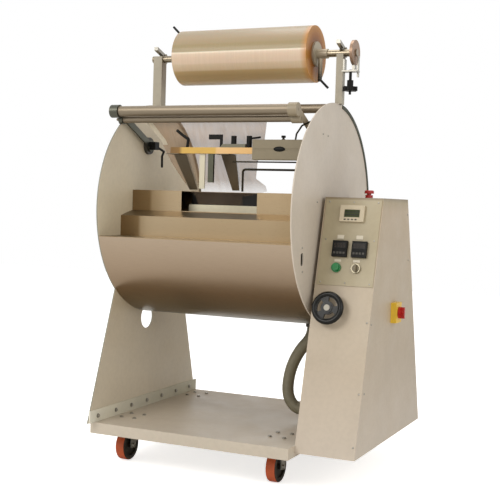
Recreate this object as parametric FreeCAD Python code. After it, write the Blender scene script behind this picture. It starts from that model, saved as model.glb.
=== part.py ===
import FreeCAD, Part
import math
import os

# Mobile film packaging machine: two round cheek plates carry a stainless drum,
# a film roll on two posts, a pair of film rollers and a film forming unit.
# All sizes are in millimetres. The work is laid out about the machine's own
# centre: x = 0 midway between the cheeks, y = 0 on the drum's axis, z = 0 on the
# floor, with -y towards the operator. Every piece is shifted at the end so that
# the part's origin is the bottom centre of the whole envelope.

# Cheek plates
CHEEK_R = 458.0
CHEEK_AXIS_Z = 1059.0
CHEEK_T = 5.0
CHEEK_INNER = 425.0
LEG_TOP_Z = 760.0
LEG_TOP_FRONT = -291.0
LEG_TOP_REAR = 270.0
LEG_FOOT_FRONT = -493.0
LEG_FOOT_REAR = 440.0
LEG_HOLE_R = 50.0
LEG_HOLE_Y = -36.0
LEG_HOLE_Z = 575.0
TRIM_W = 12.0
TRIM_T = 3.0
TRIM_START_DEG = 8.0
TRIM_END_DEG = 100.0
SLOT_IN = 121.0
SLOT_W = 26.0
SLOT_DROP = 200.0
SLOT_H = 52.0

# Base platform, a folded sheet pan that is open below
BASE_LEFT = -437.0
BASE_FRONT = -455.0
BASE_REAR = 442.0
BASE_TOP = 175.0
BASE_H = 45.0
BASE_T = 3.0
FOOT_BAR_H = 50.0
FOOT_BAR_T = 6.0
FOOT_BAR_FRONT = -486.0
FOOT_BAR_REAR = 447.0

# Castors
WHEEL_D = 125.0
WHEEL_W = 40.0
WHEEL_HUB_R = 44.0
WHEEL_CROWN = 5.0
AXLE_R = 6.0
FORK_GAP = 5.0
FORK_T = 4.0
FORK_CROWN_H = 6.0
CASTOR_TRAIL = 42.0
CASTOR_PLATE_X = 85.0
CASTOR_PLATE_Y = 105.0
CASTOR_PLATE_T = 5.0
CASTOR_BOLT_X = 62.0
CASTOR_BOLT_Y = 82.0
CASTOR_BOLT_R = 4.5
KINGPIN_R = 11.0
KINGPIN_H = 14.0
CROWN_WALL = 14.0
FORK_HEEL = 8.0
FORK_FOOT_HALF = 16.0
FORK_EYE = 10.0
AXLE_OUT = 3.0
CASTOR_LEFT_X = -350.0
CASTOR_RIGHT_X = 335.0
CASTOR_FRONT_Y = -262.0
CASTOR_REAR_Y = 325.0
RUNNING_FIT = 0.05
SMALL_GAP = 0.3
HEAD_GAP = 1.0

# Stainless drum and its two steps
SHEET_T = 2.0
LIP_Z = 942.0
STEP1_Y = 276.0
STEP1_TOP = 1029.0
STEP2_Y = 184.0
STEP2_FOOT = 1052.0
STEP2_TOP = 1139.0
NOTCH_LEFT = -186.0
NOTCH_RIGHT = 164.0
NOTCH_REAR = -60.0
JAW_DROP = 39.0
FRONT_JAW_Y = -115.0
FRONT_JAW_T = 14.0
FRONT_JAW_H = 63.0
REAR_JAW_Y = -88.0
REAR_JAW_H = 116.0
JAW_RAIL_H = 30.0
JAW_RAIL_WALL = 2.5
RAIL_OVERHANG = 10.0

# Tie bar and posts
TIE_R = 19.0
TIE_Z = 1496.0
TIE_WALL = 3.0
POST_Y = 31.0
POST_X = 429.0
LEFT_POST_SIDE = 42.0
RIGHT_POST_SIDE = 30.0
POST_WALL = 3.0
POST_TOP = 1738.0

# Film roll and its shaft
ROLL_Z = 1726.0
ROLL_R = 118.5
ROLL_LEFT = -306.0
ROLL_RIGHT = 318.0
CORE_R = 45.0
CORE_WALL = 6.0
SHAFT_R = 15.0
SHAFT_LEFT = -462.0
SHAFT_RIGHT = 500.0
CHUCK_R = 52.0
CHUCK_COLLAR_R = 20.0
CHUCK_COLLAR_W = 46.0
CHUCK_FLANGE_W = 8.0
LEVER_X = 20.0
LEVER_GRIP_R = 9.0
LEVER_GRIP_END = 114.0
LEVER_TIP_R = 5.0
LEVER_TIP_END = 142.0
LEVER_SPLAY = 38.0
LATCH_W = 18.0
LATCH_PIN_R = 4.0
LATCH_PIN_OUT = 11.0
LATCH_PIN_Z = 1746.0
LATCH_EYE_R = 8.0
LATCH_TIP_Y = -8.0
LATCH_TIP_RISE = 23.0
LATCH_HALF_T = 7.5
EAR_T = 4.0
EAR_FOOT = 1712.0

# Brake at the right end of the shaft
BRAKE_R = 52.0
BRAKE_T = 12.0
BRAKE_X = 482.0
BRACKET_T = 6.0
BRACKET_Z = 1646.0
BRACKET_TOP = 1700.0
BRACKET_FRONT = 0.0
BRACKET_REAR = 44.0
BRACKET_RIGHT = 508.0
SHOE_GAP = 1.0
SHOE_HALF = 13.0
SIDE_ARM_X = 502.0
SIDE_ARM_W = 14.0
SIDE_ARM_TOP = 1712.0
SIDE_ARM_FOOT = 1626.0
SCREW_X = 480.0
SCREW_Y = 10.0
SCREW_R = 6.0
SCREW_OUT = 2.0
STAR_R = 32.0
STAR_LOBE_R = 7.0
STAR_LOBES = 6
STAR_Z = 1567.0
STAR_H = 18.0
STAR_HUB_R = 13.0
STAR_HUB_TOP = 1611.0
STAR_TIP_R = 5.0
STAR_TIP_Z = 1553.0

# Film rollers on their two arms
ROLLER_LEFT = -404.0
ROLLER_RIGHT = 356.0
UPPER_ROLLER_R = 21.0
UPPER_ROLLER_OUT = 65.0
UPPER_ROLLER_DEG = 39.7
LOWER_ROLLER_R = 15.0
LOWER_ROLLER_BACK = 34.0
LOWER_ROLLER_DROP = 31.0
ROLLER_PIN_R = 6.0
ROLLER_PLAY = 1.0
ARM_T = 8.0
ARM_W = 28.0
ARM_HEAD_W = 30.0
ARM_HEAD_R = 27.0
ARM_LOW_HEAD_R = 20.0
ARM_LOW_HEAD_W = 10.0
ARM_EYE_R = 25.0
CLAMP_IN = 175.0
CLAMP_DEG = 13.5
CLAMP_R = 37.0
CLAMP_KNOB_SIDE = 34.0
CLAMP_KNOB_T = 28.0
CLAMP_LEVER_R = 5.0
CLAMP_LEVER = [(0.0, 0.0), (78.0, -20.0), (62.0, -42.0), (64.0, -92.0)]

# Console cabinet at the right, with a front that leans back
CONSOLE_LEFT = 445.5
CONSOLE_RIGHT = 688.0
CONSOLE_TOP = 1130.0
CONSOLE_BOTTOM = 147.0
CONSOLE_TOP_FRONT = -142.0
CONSOLE_TOP_REAR = 199.0
FRONT_LEAN_DEG = 14.45
REAR_LEAN_DEG = 16.8
CABINET_T = 2.0
SPACER_R = 22.0
SPACER_PLACES = [(-90.0, 1060.0), (120.0, 1060.0), (-180.0, 780.0), (200.0, 780.0)]
PANEL_LEFT = 8.0
PANEL_RIGHT = 238.0
PANEL_TOP = -10.0
PANEL_BOTTOM = -356.0
PANEL_T = 3.0

# Things on the console, placed by the distance from the front's top left corner
DISPLAY_U = 124.0
DISPLAY_V = -68.0
DISPLAY_W = 100.0
DISPLAY_H = 66.0
DISPLAY_D = 12.0
WINDOW_W = 64.0
WINDOW_H = 31.0
WINDOW_DEPTH = 4.0
CONTROLLER_W = 60.0
CONTROLLER_H = 64.0
CONTROLLER_D = 14.0
CONTROLLER_V = -211.0
LEFT_CONTROLLER_U = 90.0
RIGHT_CONTROLLER_U = 170.0
BUTTON_U = 82.0
SELECTOR_U = 163.0
BUTTON_V = -286.0
BUTTON_R = 14.0
BUTTON_RING_H = 8.0
BUTTON_RING_WALL = 5.0
BUTTON_LIFT = 5.0
BUTTON_H = 10.0
SELECTOR_R = 14.0
SELECTOR_H = 20.0
SELECTOR_GRIP_HALF = 4.0
SELECTOR_RISE = 2.0
HANDWHEEL_U = 77.0
HANDWHEEL_V = -452.0
HANDWHEEL_R = 65.0
HANDWHEEL_RIM_R = 11.0
HANDWHEEL_LIFT = 34.0
HANDWHEEL_HUB_R = 21.0
HANDWHEEL_HUB_LOW = 16.0
HANDWHEEL_HUB_HIGH = 8.0
HANDWHEEL_WEB_HALF = 5.0
HANDWHEEL_WINDOWS_DEG = (20.0, 140.0, 260.0)
HANDWHEEL_WINDOW_SWEEP = 72.0
HANDWHEEL_WINDOW_IN = 26.0
HANDWHEEL_WINDOW_OUT = 42.0
HANDWHEEL_CAP_R = 12.0
HANDWHEEL_CAP_H = 3.0
SPINDLE_R = 8.0
ESTOP_X = 548.0
ESTOP_Y = 103.0
ESTOP_R = 20.0
ESTOP_COLLAR_R = 16.0
ESTOP_COLLAR_H = 14.0
ESTOP_STEM_R = 9.0
ESTOP_STEM_LOW = 6.0
ESTOP_GAP = 6.0
ESTOP_CAP_H = 14.0
ESTOP_ROUND = 6.0
SWITCH_Y = 42.0
SWITCH_Z = 668.0
SWITCH_W = 72.0
SWITCH_H = 82.0
SWITCH_D = 24.0
SWITCH_KNOB_R = 24.0
SWITCH_KNOB_D = 24.0
SWITCH_BORE = 8.0
SWITCH_STEM = 7.0
SWITCH_DISC_H = 10.0
SWITCH_GRIP_HALF = 6.0

# Film forming unit, carried by a beam from the right cheek
COLLAR_Y = -274.0
COLLAR_Z = 1304.0
COLLAR_H = 25.0
COLLAR_D = 24.0
COLLAR_LEFT = -188.0
COLLAR_RIGHT = 185.0
BEAM_Y = -292.0
BEAM_D = 46.0
BEAM_LEFT = 188.0
BEAM_H = 40.0
BEAM_JOINT_Z = 1308.0
BEAM_WALL = 2.5
BEAM_END_T = 3.0
FORMING_T = 2.5
FORMING_FOOT_Z = 1146.0
FORMING_LEAD = 8.0
LEFT_FORMING_TOP = (-209.0, -150.0)
LEFT_FORMING_FOOT = (-172.0, -134.0)
RIGHT_FORMING_TOP = (12.0, 78.0)
RIGHT_FORMING_FOOT = (30.0, 62.0)
PALE_STRIP_X = (-56.0, -32.0)
PALE_STRIP_T = 6.0
PALE_STRIP_Z = 1149.0
GAUGE_BAR_X = (-16.0, 8.0)
GAUGE_BAR_T = 12.0
GAUGE_BAR_LOW = 129.0
CLAMP_BLOCK_X = (38.0, 150.0)
CLAMP_BLOCK_H = 14.0
CLAMP_KNOB_R = 11.0
CLAMP_KNOB_X = (95.0, 163.0)
CLAMP_KNOB_H = 47.0
TAB_X = (-12.0, 38.0)
TAB_FOOT = 32.0
TAB_TOP = 52.0
TAB_T = 4.0
TAB_STEM_W = 12.0
TOP_LEVER_END = (212.0, 1358.0)
TOP_LEVER_R = 4.0
HANDLE_R = 6.0
HANDLE_ROUTE = [(-117.0, 1314.0), (-112.0, 1350.0), (-135.0, 1364.0), (-166.0, 1386.0)]
THIN_ROD_Z = 1261.0
THIN_ROD_R = 3.0
THIN_ROD_X = 82.0
THIN_ROD_Y = -254.0
BENT_ROD_Z = 1233.0
BENT_ROD_R = 4.5
BENT_ROD_X = 96.0
BENT_ROD_Y = -182.0
BENT_ROD_FOOT = 1142.0
BENT_ROD_BEND = 12.0
ARCHED_ROD_R = 3.5
ARCHED_ROD_Y = -266.0
ARCHED_ROD_ROUTE = [(358.0, 1346.0), (362.0, 1372.0), (384.0, 1404.0), (425.0, 1422.0)]

# Film: its left and right edge at a few heights below the lower roller
FILM_T = 0.6
FILM_TOP_EDGES = (-318.0, 243.0)
FILM_EDGES = [
    (1350.0, -262.0, 215.0),
    (1262.0, -236.0, 166.0),
    (1197.0, -205.0, 145.0),
    (1168.0, -189.0, 182.0),
    (1145.0, -176.0, 184.0),
    (1118.0, -154.0, 62.0),
    (1083.0, -152.0, 60.0),
    (1040.0, -152.0, 60.0),
]

# Service conduit from the drum's underside to the console, route chosen by hand
CONDUIT_R = 25.0
GLAND_R = 30.0
GLAND_H = 14.0
CONDUIT_X = 356.0
CONDUIT_BENDS = [
    (356.0, 0.0, 545.0),
    (300.0, 0.0, 484.0),
    (262.0, 0.0, 406.0),
    (248.0, 0.0, 318.0),
    (262.0, 0.0, 262.0),
    (308.0, 0.0, 226.0),
    (429.5, 0.0, 226.0),
]

X_AXIS = FreeCAD.Vector(1, 0, 0)
Y_AXIS = FreeCAD.Vector(0, 1, 0)
Z_AXIS = FreeCAD.Vector(0, 0, 1)

# Sizes that follow from the ones above
CHEEK_OUTER = CHEEK_INNER + CHEEK_T
DRUM_FOOT_Z = CHEEK_AXIS_Z - CHEEK_R
SLOT_Y = SLOT_IN - CHEEK_R
SLOT_FOOT_Z = CHEEK_AXIS_Z - SLOT_DROP
SLOT_TOP_Z = SLOT_FOOT_Z + SLOT_H
JAW_FOOT = CHEEK_AXIS_Z - JAW_DROP
FRONT_JAW_TOP = JAW_FOOT + FRONT_JAW_H
REAR_JAW_TOP = JAW_FOOT + REAR_JAW_H
GAUGE_BAR_Z = COLLAR_Z - GAUGE_BAR_LOW
CONDUIT_ROUTE = [(CONDUIT_X, 0.0, DRUM_FOOT_Z - GLAND_H)] + CONDUIT_BENDS
ROLLER_REACH = CHEEK_R + UPPER_ROLLER_OUT
UPPER_ROLLER_Y = -ROLLER_REACH * math.sin(math.radians(UPPER_ROLLER_DEG))
UPPER_ROLLER_Z = CHEEK_AXIS_Z + ROLLER_REACH * math.cos(math.radians(UPPER_ROLLER_DEG))
LOWER_ROLLER_Y = UPPER_ROLLER_Y + LOWER_ROLLER_BACK
LOWER_ROLLER_Z = UPPER_ROLLER_Z - LOWER_ROLLER_DROP
CLAMP_REACH = CHEEK_R - CLAMP_IN
CLAMP_Y = -CLAMP_REACH * math.sin(math.radians(CLAMP_DEG))
CLAMP_Z = CHEEK_AXIS_Z + CLAMP_REACH * math.cos(math.radians(CLAMP_DEG))
BASE_RIGHT = CONSOLE_LEFT
BASE_BOTTOM = BASE_TOP - BASE_H
LEAN = math.radians(FRONT_LEAN_DEG)
FRONT_UP = FreeCAD.Vector(0, math.sin(LEAN), math.cos(LEAN))
FRONT_OUT = FreeCAD.Vector(0, -math.cos(LEAN), math.sin(LEAN))
LIP_Y = math.sqrt(CHEEK_R ** 2 - (CHEEK_AXIS_Z - LIP_Z) ** 2)
ENVELOPE_LEFT = SHAFT_LEFT
ENVELOPE_RIGHT = CONSOLE_RIGHT + SWITCH_D + SWITCH_KNOB_D
CONSOLE_HEIGHT = CONSOLE_TOP - CONSOLE_BOTTOM
ENVELOPE_REAR = CONSOLE_TOP_REAR + CONSOLE_HEIGHT * math.tan(math.radians(REAR_LEAN_DEG))
ENVELOPE_FRONT = LEG_FOOT_FRONT
ORIGIN_SHIFT = FreeCAD.Vector(
    -(ENVELOPE_LEFT + ENVELOPE_RIGHT) / 2, -(ENVELOPE_FRONT + ENVELOPE_REAR) / 2, 0)


def point(x, y, z):
    return FreeCAD.Vector(x, y, z)


def box(x0, x1, y0, y1, z0, z1):
    return Part.makeBox(x1 - x0, y1 - y0, z1 - z0, point(x0, y0, z0))


def rod_x(x0, x1, y, z, radius):
    return Part.makeCylinder(radius, x1 - x0, point(x0, y, z), X_AXIS)


def between(start, end, radius):
    """Round bar from one point to another."""
    return Part.makeCylinder(radius, (end - start).Length, start, end - start)


def rod_z(x, y, z0, z1, radius):
    return Part.makeCylinder(radius, z1 - z0, point(x, y, z0), Z_AXIS)


def join(shapes):
    whole = shapes[0]
    for shape in shapes[1:]:
        whole = whole.fuse(shape)
    return whole.removeSplitter()


def prism_x(outline, x0, x1):
    """Extrude a closed outline of (y, z) points from x0 to x1."""
    corners = [point(x0, y, z) for y, z in outline]
    face = Part.Face(Part.makePolygon(corners + corners[:1]))
    return face.extrude(point(x1 - x0, 0, 0))


def folded_sheet(line, thickness, x0, x1):
    """Sheet metal whose outer side follows a line of (y, z) points.

    The thickness lies to the right of the direction of travel, with mitred folds.
    """
    normals = []
    for (y0, z0), (y1, z1) in zip(line, line[1:]):
        length = math.hypot(y1 - y0, z1 - z0)
        normals.append(((z1 - z0) / length, -(y1 - y0) / length))
    inner = []
    for index, (y, z) in enumerate(line):
        before = normals[max(index - 1, 0)]
        after = normals[min(index, len(normals) - 1)]
        scale = thickness / (1 + before[0] * after[0] + before[1] * after[1])
        inner.append((y + (before[0] + after[0]) * scale, z + (before[1] + after[1]) * scale))
    return prism_x(line + inner[::-1], x0, x1)


def front_point(u, v, lift):
    """Place on the console's leaning front: u to the right, v up, lift outwards."""
    corner = point(CONSOLE_LEFT + u, CONSOLE_TOP_FRONT, CONSOLE_TOP)
    return corner + FRONT_UP * v + FRONT_OUT * lift


def front_rod(u, v, lift0, lift1, radius):
    return Part.makeCylinder(radius, lift1 - lift0, front_point(u, v, lift0), FRONT_OUT)


def front_plate(u0, u1, v0, v1, lift0, lift1):
    corners = [
        front_point(u0, v0, lift0), front_point(u1, v0, lift0),
        front_point(u1, v1, lift0), front_point(u0, v1, lift0)]
    face = Part.Face(Part.makePolygon(corners + corners[:1]))
    return face.extrude(FRONT_OUT * (lift1 - lift0))


def round_route(route):
    """Straight runs joined by tangent arcs, and the arcs' radii."""
    points = [point(*place) for place in route]
    edges = []
    radii = []
    start = points[0]
    for before, corner, after in zip(points, points[1:], points[2:]):
        run_in = corner - before
        run_out = after - corner
        cut = 0.45 * min(run_in.Length, run_out.Length)
        turn = run_in.getAngle(run_out)
        radius = cut / math.tan(turn / 2)
        first = corner - run_in.normalize() * cut
        last = corner + run_out.normalize() * cut
        toward = ((first + last) * 0.5 - corner).normalize()
        centre_distance = radius / math.cos(turn / 2)
        middle = corner + toward * (centre_distance - radius)
        edges.append(Part.LineSegment(start, first).toShape())
        edges.append(Part.Arc(first, middle, last).toShape())
        radii.append(radius)
        start = last
    edges.append(Part.LineSegment(start, points[-1]).toShape())
    return Part.Wire(edges), radii


def round_tube(route, radius):
    path, radii = round_route(route)
    start = point(*route[0])
    direction = point(*route[1]) - start
    ring = Part.Wire(Part.makeCircle(radius, start, direction))
    tube = path.makePipeShell([ring], True, False)
    return tube, path.Length, radii


def cheek_disc(x0, x1):
    return rod_x(x0, x1, 0, CHEEK_AXIS_Z, CHEEK_R)


def left_cheek():
    leg = prism_x([
        (LEG_TOP_FRONT, LEG_TOP_Z), (LEG_TOP_REAR, LEG_TOP_Z),
        (LEG_FOOT_REAR, BASE_TOP), (LEG_FOOT_FRONT, BASE_TOP)], -CHEEK_OUTER, -CHEEK_INNER)
    plate = join([cheek_disc(-CHEEK_OUTER, -CHEEK_INNER), leg])
    hole = rod_x(-CHEEK_OUTER - 1, -CHEEK_INNER + 1, LEG_HOLE_Y, LEG_HOLE_Z, LEG_HOLE_R)
    return plate.cut(hole)


def right_cheek():
    """Round plate with a small upright slot low at its front."""
    x0 = CHEEK_INNER - 1
    x1 = CHEEK_OUTER + 1
    half = SLOT_W / 2
    slot = join([
        box(x0, x1, SLOT_Y - half, SLOT_Y + half, SLOT_FOOT_Z + half, SLOT_TOP_Z - half),
        rod_x(x0, x1, SLOT_Y, SLOT_FOOT_Z + half, half),
        rod_x(x0, x1, SLOT_Y, SLOT_TOP_Z - half, half)])
    return cheek_disc(CHEEK_INNER, CHEEK_OUTER).cut(slot)


def rim_trim(x0, x1):
    """Edging folded round the rear of a cheek's rim, from behind the post down."""
    outer_x0 = x0 - TRIM_T
    outer_x1 = x1 + TRIM_T
    ring = rod_x(outer_x0, outer_x1, 0, CHEEK_AXIS_Z, CHEEK_R + TRIM_T).cut(
        rod_x(outer_x0, outer_x1, 0, CHEEK_AXIS_Z, CHEEK_R - TRIM_W))
    sweep = TRIM_END_DEG - TRIM_START_DEG
    sector = Part.makeCylinder(
        CHEEK_R * 2, outer_x1 - outer_x0, point(outer_x0, 0, CHEEK_AXIS_Z), X_AXIS, sweep)
    sector.rotate(point(0, 0, CHEEK_AXIS_Z), X_AXIS, -TRIM_END_DEG)
    return ring.common(sector).cut(cheek_disc(x0, x1))


def rim_trims():
    return Part.makeCompound([rim_trim(-CHEEK_OUTER, -CHEEK_INNER),
                              rim_trim(CHEEK_INNER, CHEEK_OUTER)])


def foot_bar():
    return box(-CHEEK_INNER, -CHEEK_INNER + FOOT_BAR_T, FOOT_BAR_FRONT, FOOT_BAR_REAR,
               BASE_TOP, BASE_TOP + FOOT_BAR_H)


def castor_places():
    for name, y in (("front", CASTOR_FRONT_Y), ("rear", CASTOR_REAR_Y)):
        for side, x in (("left", CASTOR_LEFT_X), ("right", CASTOR_RIGHT_X)):
            yield name + "_" + side, x, y


def castor_bolt_holes(x, y, z0, z1):
    holes = []
    for dx in (-CASTOR_BOLT_X / 2, CASTOR_BOLT_X / 2):
        for dy in (-CASTOR_BOLT_Y / 2, CASTOR_BOLT_Y / 2):
            holes.append(rod_z(x + dx, y + dy, z0, z1, CASTOR_BOLT_R))
    return holes


def base_platform():
    pan = box(BASE_LEFT, BASE_RIGHT, BASE_FRONT, BASE_REAR, BASE_BOTTOM, BASE_TOP)
    inside = box(BASE_LEFT + BASE_T, BASE_RIGHT - BASE_T, BASE_FRONT + BASE_T,
                 BASE_REAR - BASE_T, BASE_BOTTOM - 1, BASE_TOP - BASE_T)
    return pan.cut(inside)


PLATE_TOP = BASE_TOP - BASE_T
PLATE_FOOT = PLATE_TOP - CASTOR_PLATE_T


def castor_plates():
    plates = []
    for _, x, y in castor_places():
        plate = box(x - CASTOR_PLATE_X / 2, x + CASTOR_PLATE_X / 2, y - CASTOR_PLATE_Y / 2,
                    y + CASTOR_PLATE_Y / 2, PLATE_FOOT, PLATE_TOP)
        kingpin = rod_z(x, y, PLATE_FOOT - KINGPIN_H, PLATE_FOOT, KINGPIN_R)
        plates.append(join([plate, kingpin]))
    return Part.makeCompound(plates)


def castor_fork(x, y):
    """Crown that turns on the kingpin, two legs and the wheel's axle."""
    crown_top = PLATE_FOOT - HEAD_GAP
    wheel_y = y - CASTOR_TRAIL
    wheel_z = WHEEL_D / 2
    inner = WHEEL_W / 2 + FORK_GAP
    outer = inner + FORK_T
    crown_r = KINGPIN_R + CROWN_WALL
    crown = rod_z(x, y, crown_top - KINGPIN_H - FORK_CROWN_H, crown_top, crown_r)
    bridge = box(x - outer, x + outer, wheel_y - FORK_HEEL, y + crown_r,
                 crown_top - KINGPIN_H - FORK_CROWN_H, crown_top - KINGPIN_H)
    pieces = [crown, bridge]
    shoulder_z = crown_top - KINGPIN_H - FORK_CROWN_H
    for x0, x1 in ((x - outer, x - inner), (x + inner, x + outer)):
        leg = prism_x([
            (wheel_y - FORK_HEEL, shoulder_z + 1), (y + crown_r, shoulder_z + 1),
            (wheel_y + FORK_FOOT_HALF, wheel_z - FORK_EYE),
            (wheel_y - FORK_FOOT_HALF, wheel_z - FORK_EYE),
            (wheel_y - FORK_FOOT_HALF, wheel_z + FORK_EYE)], x0, x1)
        pieces.append(leg)
    axle = rod_x(x - outer - AXLE_OUT, x + outer + AXLE_OUT, wheel_y, wheel_z, AXLE_R)
    pieces.append(axle)
    bore = rod_z(x, y, crown_top - KINGPIN_H - HEAD_GAP, crown_top + 1,
                 KINGPIN_R + RUNNING_FIT)
    return join(pieces).cut(bore)


def castor_wheel(x, y):
    """Tyre with rounded shoulders on a dished hub."""
    wheel_y = y - CASTOR_TRAIL
    wheel_z = WHEEL_D / 2
    half = WHEEL_W / 2
    wheel = rod_x(x - half, x + half, wheel_y, wheel_z, WHEEL_D / 2)
    rims = [edge for edge in wheel.Edges if isinstance(edge.Curve, Part.Circle)]
    wheel = wheel.makeFillet(WHEEL_CROWN, rims)
    dish_depth = WHEEL_W / 5
    for x0, x1 in ((x - half - 1, x - half + dish_depth), (x + half - dish_depth, x + half + 1)):
        dish = rod_x(x0, x1, wheel_y, wheel_z, WHEEL_HUB_R)
        boss = rod_x(x0, x1, wheel_y, wheel_z, AXLE_R * 2)
        wheel = wheel.cut(dish.cut(boss))
    return wheel.cut(rod_x(x - half - 1, x + half + 1, wheel_y, wheel_z, AXLE_R + RUNNING_FIT))


def drum_shell():
    """Curved sheet under the steps, flush with the cheeks' rims."""
    shell = rod_x(-CHEEK_INNER, CHEEK_INNER, 0, CHEEK_AXIS_Z, CHEEK_R).cut(
        rod_x(-CHEEK_INNER, CHEEK_INNER, 0, CHEEK_AXIS_Z, CHEEK_R - SHEET_T))
    above = box(-CHEEK_INNER - 1, CHEEK_INNER + 1, -CHEEK_R - 1, CHEEK_R + 1,
                LIP_Z, CHEEK_AXIS_Z + CHEEK_R + 1)
    return shell.cut(above)


def lower_step():
    line = [(-LIP_Y, LIP_Z + SHEET_T), (-STEP1_Y, LIP_Z + SHEET_T), (-STEP1_Y, STEP1_TOP),
            (-STEP2_Y, STEP2_FOOT)]
    return folded_sheet(line, SHEET_T, -CHEEK_INNER, CHEEK_INNER)


def upper_step():
    line = [(-STEP2_Y, STEP2_FOOT), (-STEP2_Y, STEP2_TOP), (STEP2_Y, STEP2_TOP)]
    sheet = folded_sheet(line, SHEET_T, -CHEEK_INNER, CHEEK_INNER)
    notch = box(NOTCH_LEFT, NOTCH_RIGHT, -STEP2_Y - 1, NOTCH_REAR, STEP2_FOOT + SHEET_T,
                STEP2_TOP + 1)
    return sheet.cut(notch)


def rear_steps():
    line = [(STEP2_Y, STEP2_TOP - SHEET_T), (STEP2_Y, STEP2_FOOT), (STEP1_Y, STEP1_TOP),
            (STEP1_Y, LIP_Z + SHEET_T), (LIP_Y, LIP_Z + SHEET_T)]
    return folded_sheet(line, SHEET_T, -CHEEK_INNER, CHEEK_INNER)


def front_jaw():
    return box(NOTCH_LEFT, NOTCH_RIGHT, FRONT_JAW_Y, FRONT_JAW_Y + FRONT_JAW_T, JAW_FOOT,
               FRONT_JAW_TOP)


def rear_jaw():
    return box(NOTCH_LEFT, NOTCH_RIGHT, REAR_JAW_Y, NOTCH_REAR, JAW_FOOT, REAR_JAW_TOP)


def jaw_rails():
    """Box sections from cheek to cheek below the steps, one under each jaw."""
    rails = []
    for y0, y1 in ((FRONT_JAW_Y - RAIL_OVERHANG, FRONT_JAW_Y + FRONT_JAW_T),
                   (REAR_JAW_Y, NOTCH_REAR)):
        rail = box(-CHEEK_INNER, CHEEK_INNER, y0, y1, JAW_FOOT - JAW_RAIL_H, JAW_FOOT)
        hollow = box(-CHEEK_INNER, CHEEK_INNER, y0 + JAW_RAIL_WALL, y1 - JAW_RAIL_WALL,
                     JAW_FOOT - JAW_RAIL_H + JAW_RAIL_WALL, JAW_FOOT - JAW_RAIL_WALL)
        rails.append(rail.cut(hollow))
    return Part.makeCompound(rails)


def tie_bar():
    bar = rod_x(-CHEEK_INNER, CHEEK_INNER, 0, TIE_Z, TIE_R)
    return bar.cut(rod_x(-CHEEK_INNER, CHEEK_INNER, 0, TIE_Z, TIE_R - TIE_WALL))


def roll_post(x, side):
    """Square tube on the rim, with an open saddle for the shaft and two latch ears."""
    half = side / 2
    tube = box(x - half, x + half, POST_Y - half, POST_Y + half, CHEEK_AXIS_Z, POST_TOP)
    hollow = box(x - half + POST_WALL, x + half - POST_WALL, POST_Y - half + POST_WALL,
                 POST_Y + half - POST_WALL, CHEEK_AXIS_Z, POST_TOP)
    tube = tube.cut(hollow).cut(rod_x(x - side, x + side, 0, CHEEK_AXIS_Z, CHEEK_R))
    seat_r = SHAFT_R + SMALL_GAP
    seat = rod_x(x - side, x + side, POST_Y, ROLL_Z, seat_r)
    mouth = box(x - side, x + side, POST_Y - seat_r, POST_Y + seat_r, ROLL_Z, POST_TOP + 1)
    rear = POST_Y + half
    pin_y = rear + LATCH_PIN_OUT
    ear_in = LATCH_W / 2 + HEAD_GAP
    pieces = [tube.cut(seat).cut(mouth)]
    for x0, x1 in ((x - ear_in - EAR_T, x - ear_in), (x + ear_in, x + ear_in + EAR_T)):
        foot = box(x0, x1, rear, pin_y + LATCH_EYE_R, EAR_FOOT, LATCH_PIN_Z)
        pieces.append(foot)
        pieces.append(rod_x(x0, x1, pin_y, LATCH_PIN_Z, LATCH_EYE_R))
    pieces.append(rod_x(x - ear_in, x + ear_in, pin_y, LATCH_PIN_Z, LATCH_PIN_R))
    return join(pieces)


def roll_posts():
    return Part.makeCompound([roll_post(-POST_X, LEFT_POST_SIDE),
                              roll_post(POST_X, RIGHT_POST_SIDE)])


def roll_shaft():
    return rod_x(SHAFT_LEFT, SHAFT_RIGHT, POST_Y, ROLL_Z, SHAFT_R)


def film_roll():
    roll = rod_x(ROLL_LEFT, ROLL_RIGHT, POST_Y, ROLL_Z, ROLL_R)
    return roll.cut(rod_x(ROLL_LEFT, ROLL_RIGHT, POST_Y, ROLL_Z, CORE_R))


def roll_core():
    core = rod_x(ROLL_LEFT, ROLL_RIGHT, POST_Y, ROLL_Z, CORE_R)
    return core.cut(rod_x(ROLL_LEFT, ROLL_RIGHT, POST_Y, ROLL_Z, CORE_R - CORE_WALL))


def roll_chuck(end_x, outward, lever_up):
    """Plug in the core's end with a collar and a cranked clamping lever."""
    plug_r = CORE_R - CORE_WALL
    plug_depth = CHUCK_R

    def along(distance, length, radius):
        low = min(end_x + outward * distance, end_x + outward * (distance + length))
        return rod_x(low, low + length, POST_Y, ROLL_Z, radius)

    plug = along(-plug_depth, plug_depth, plug_r)
    flange = along(0, CHUCK_FLANGE_W, CHUCK_R)
    collar = along(CHUCK_FLANGE_W, CHUCK_COLLAR_W, CHUCK_COLLAR_R)
    lever_x = end_x + outward * LEVER_X
    root = point(lever_x, POST_Y, ROLL_Z + lever_up * SHAFT_R)
    elbow = point(lever_x, POST_Y, ROLL_Z + lever_up * LEVER_GRIP_END)
    tip = point(lever_x + outward * LEVER_SPLAY, POST_Y, ROLL_Z + lever_up * LEVER_TIP_END)
    inner = elbow - (elbow - root).normalize() * LEVER_GRIP_R
    body = join([plug, flange, collar, between(root, elbow, LEVER_GRIP_R),
                 between(inner, tip, LEVER_TIP_R)])
    return body.cut(rod_x(end_x - CORE_R * 3, end_x + CORE_R * 3, POST_Y, ROLL_Z, SHAFT_R))


def roll_chucks():
    return Part.makeCompound([roll_chuck(ROLL_LEFT, -1, 1), roll_chuck(ROLL_RIGHT, 1, -1)])


def brake_disc():
    disc = rod_x(BRAKE_X, BRAKE_X + BRAKE_T, POST_Y, ROLL_Z, BRAKE_R)
    return disc.cut(rod_x(BRAKE_X, BRAKE_X + BRAKE_T, POST_Y, ROLL_Z, SHAFT_R))


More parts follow.
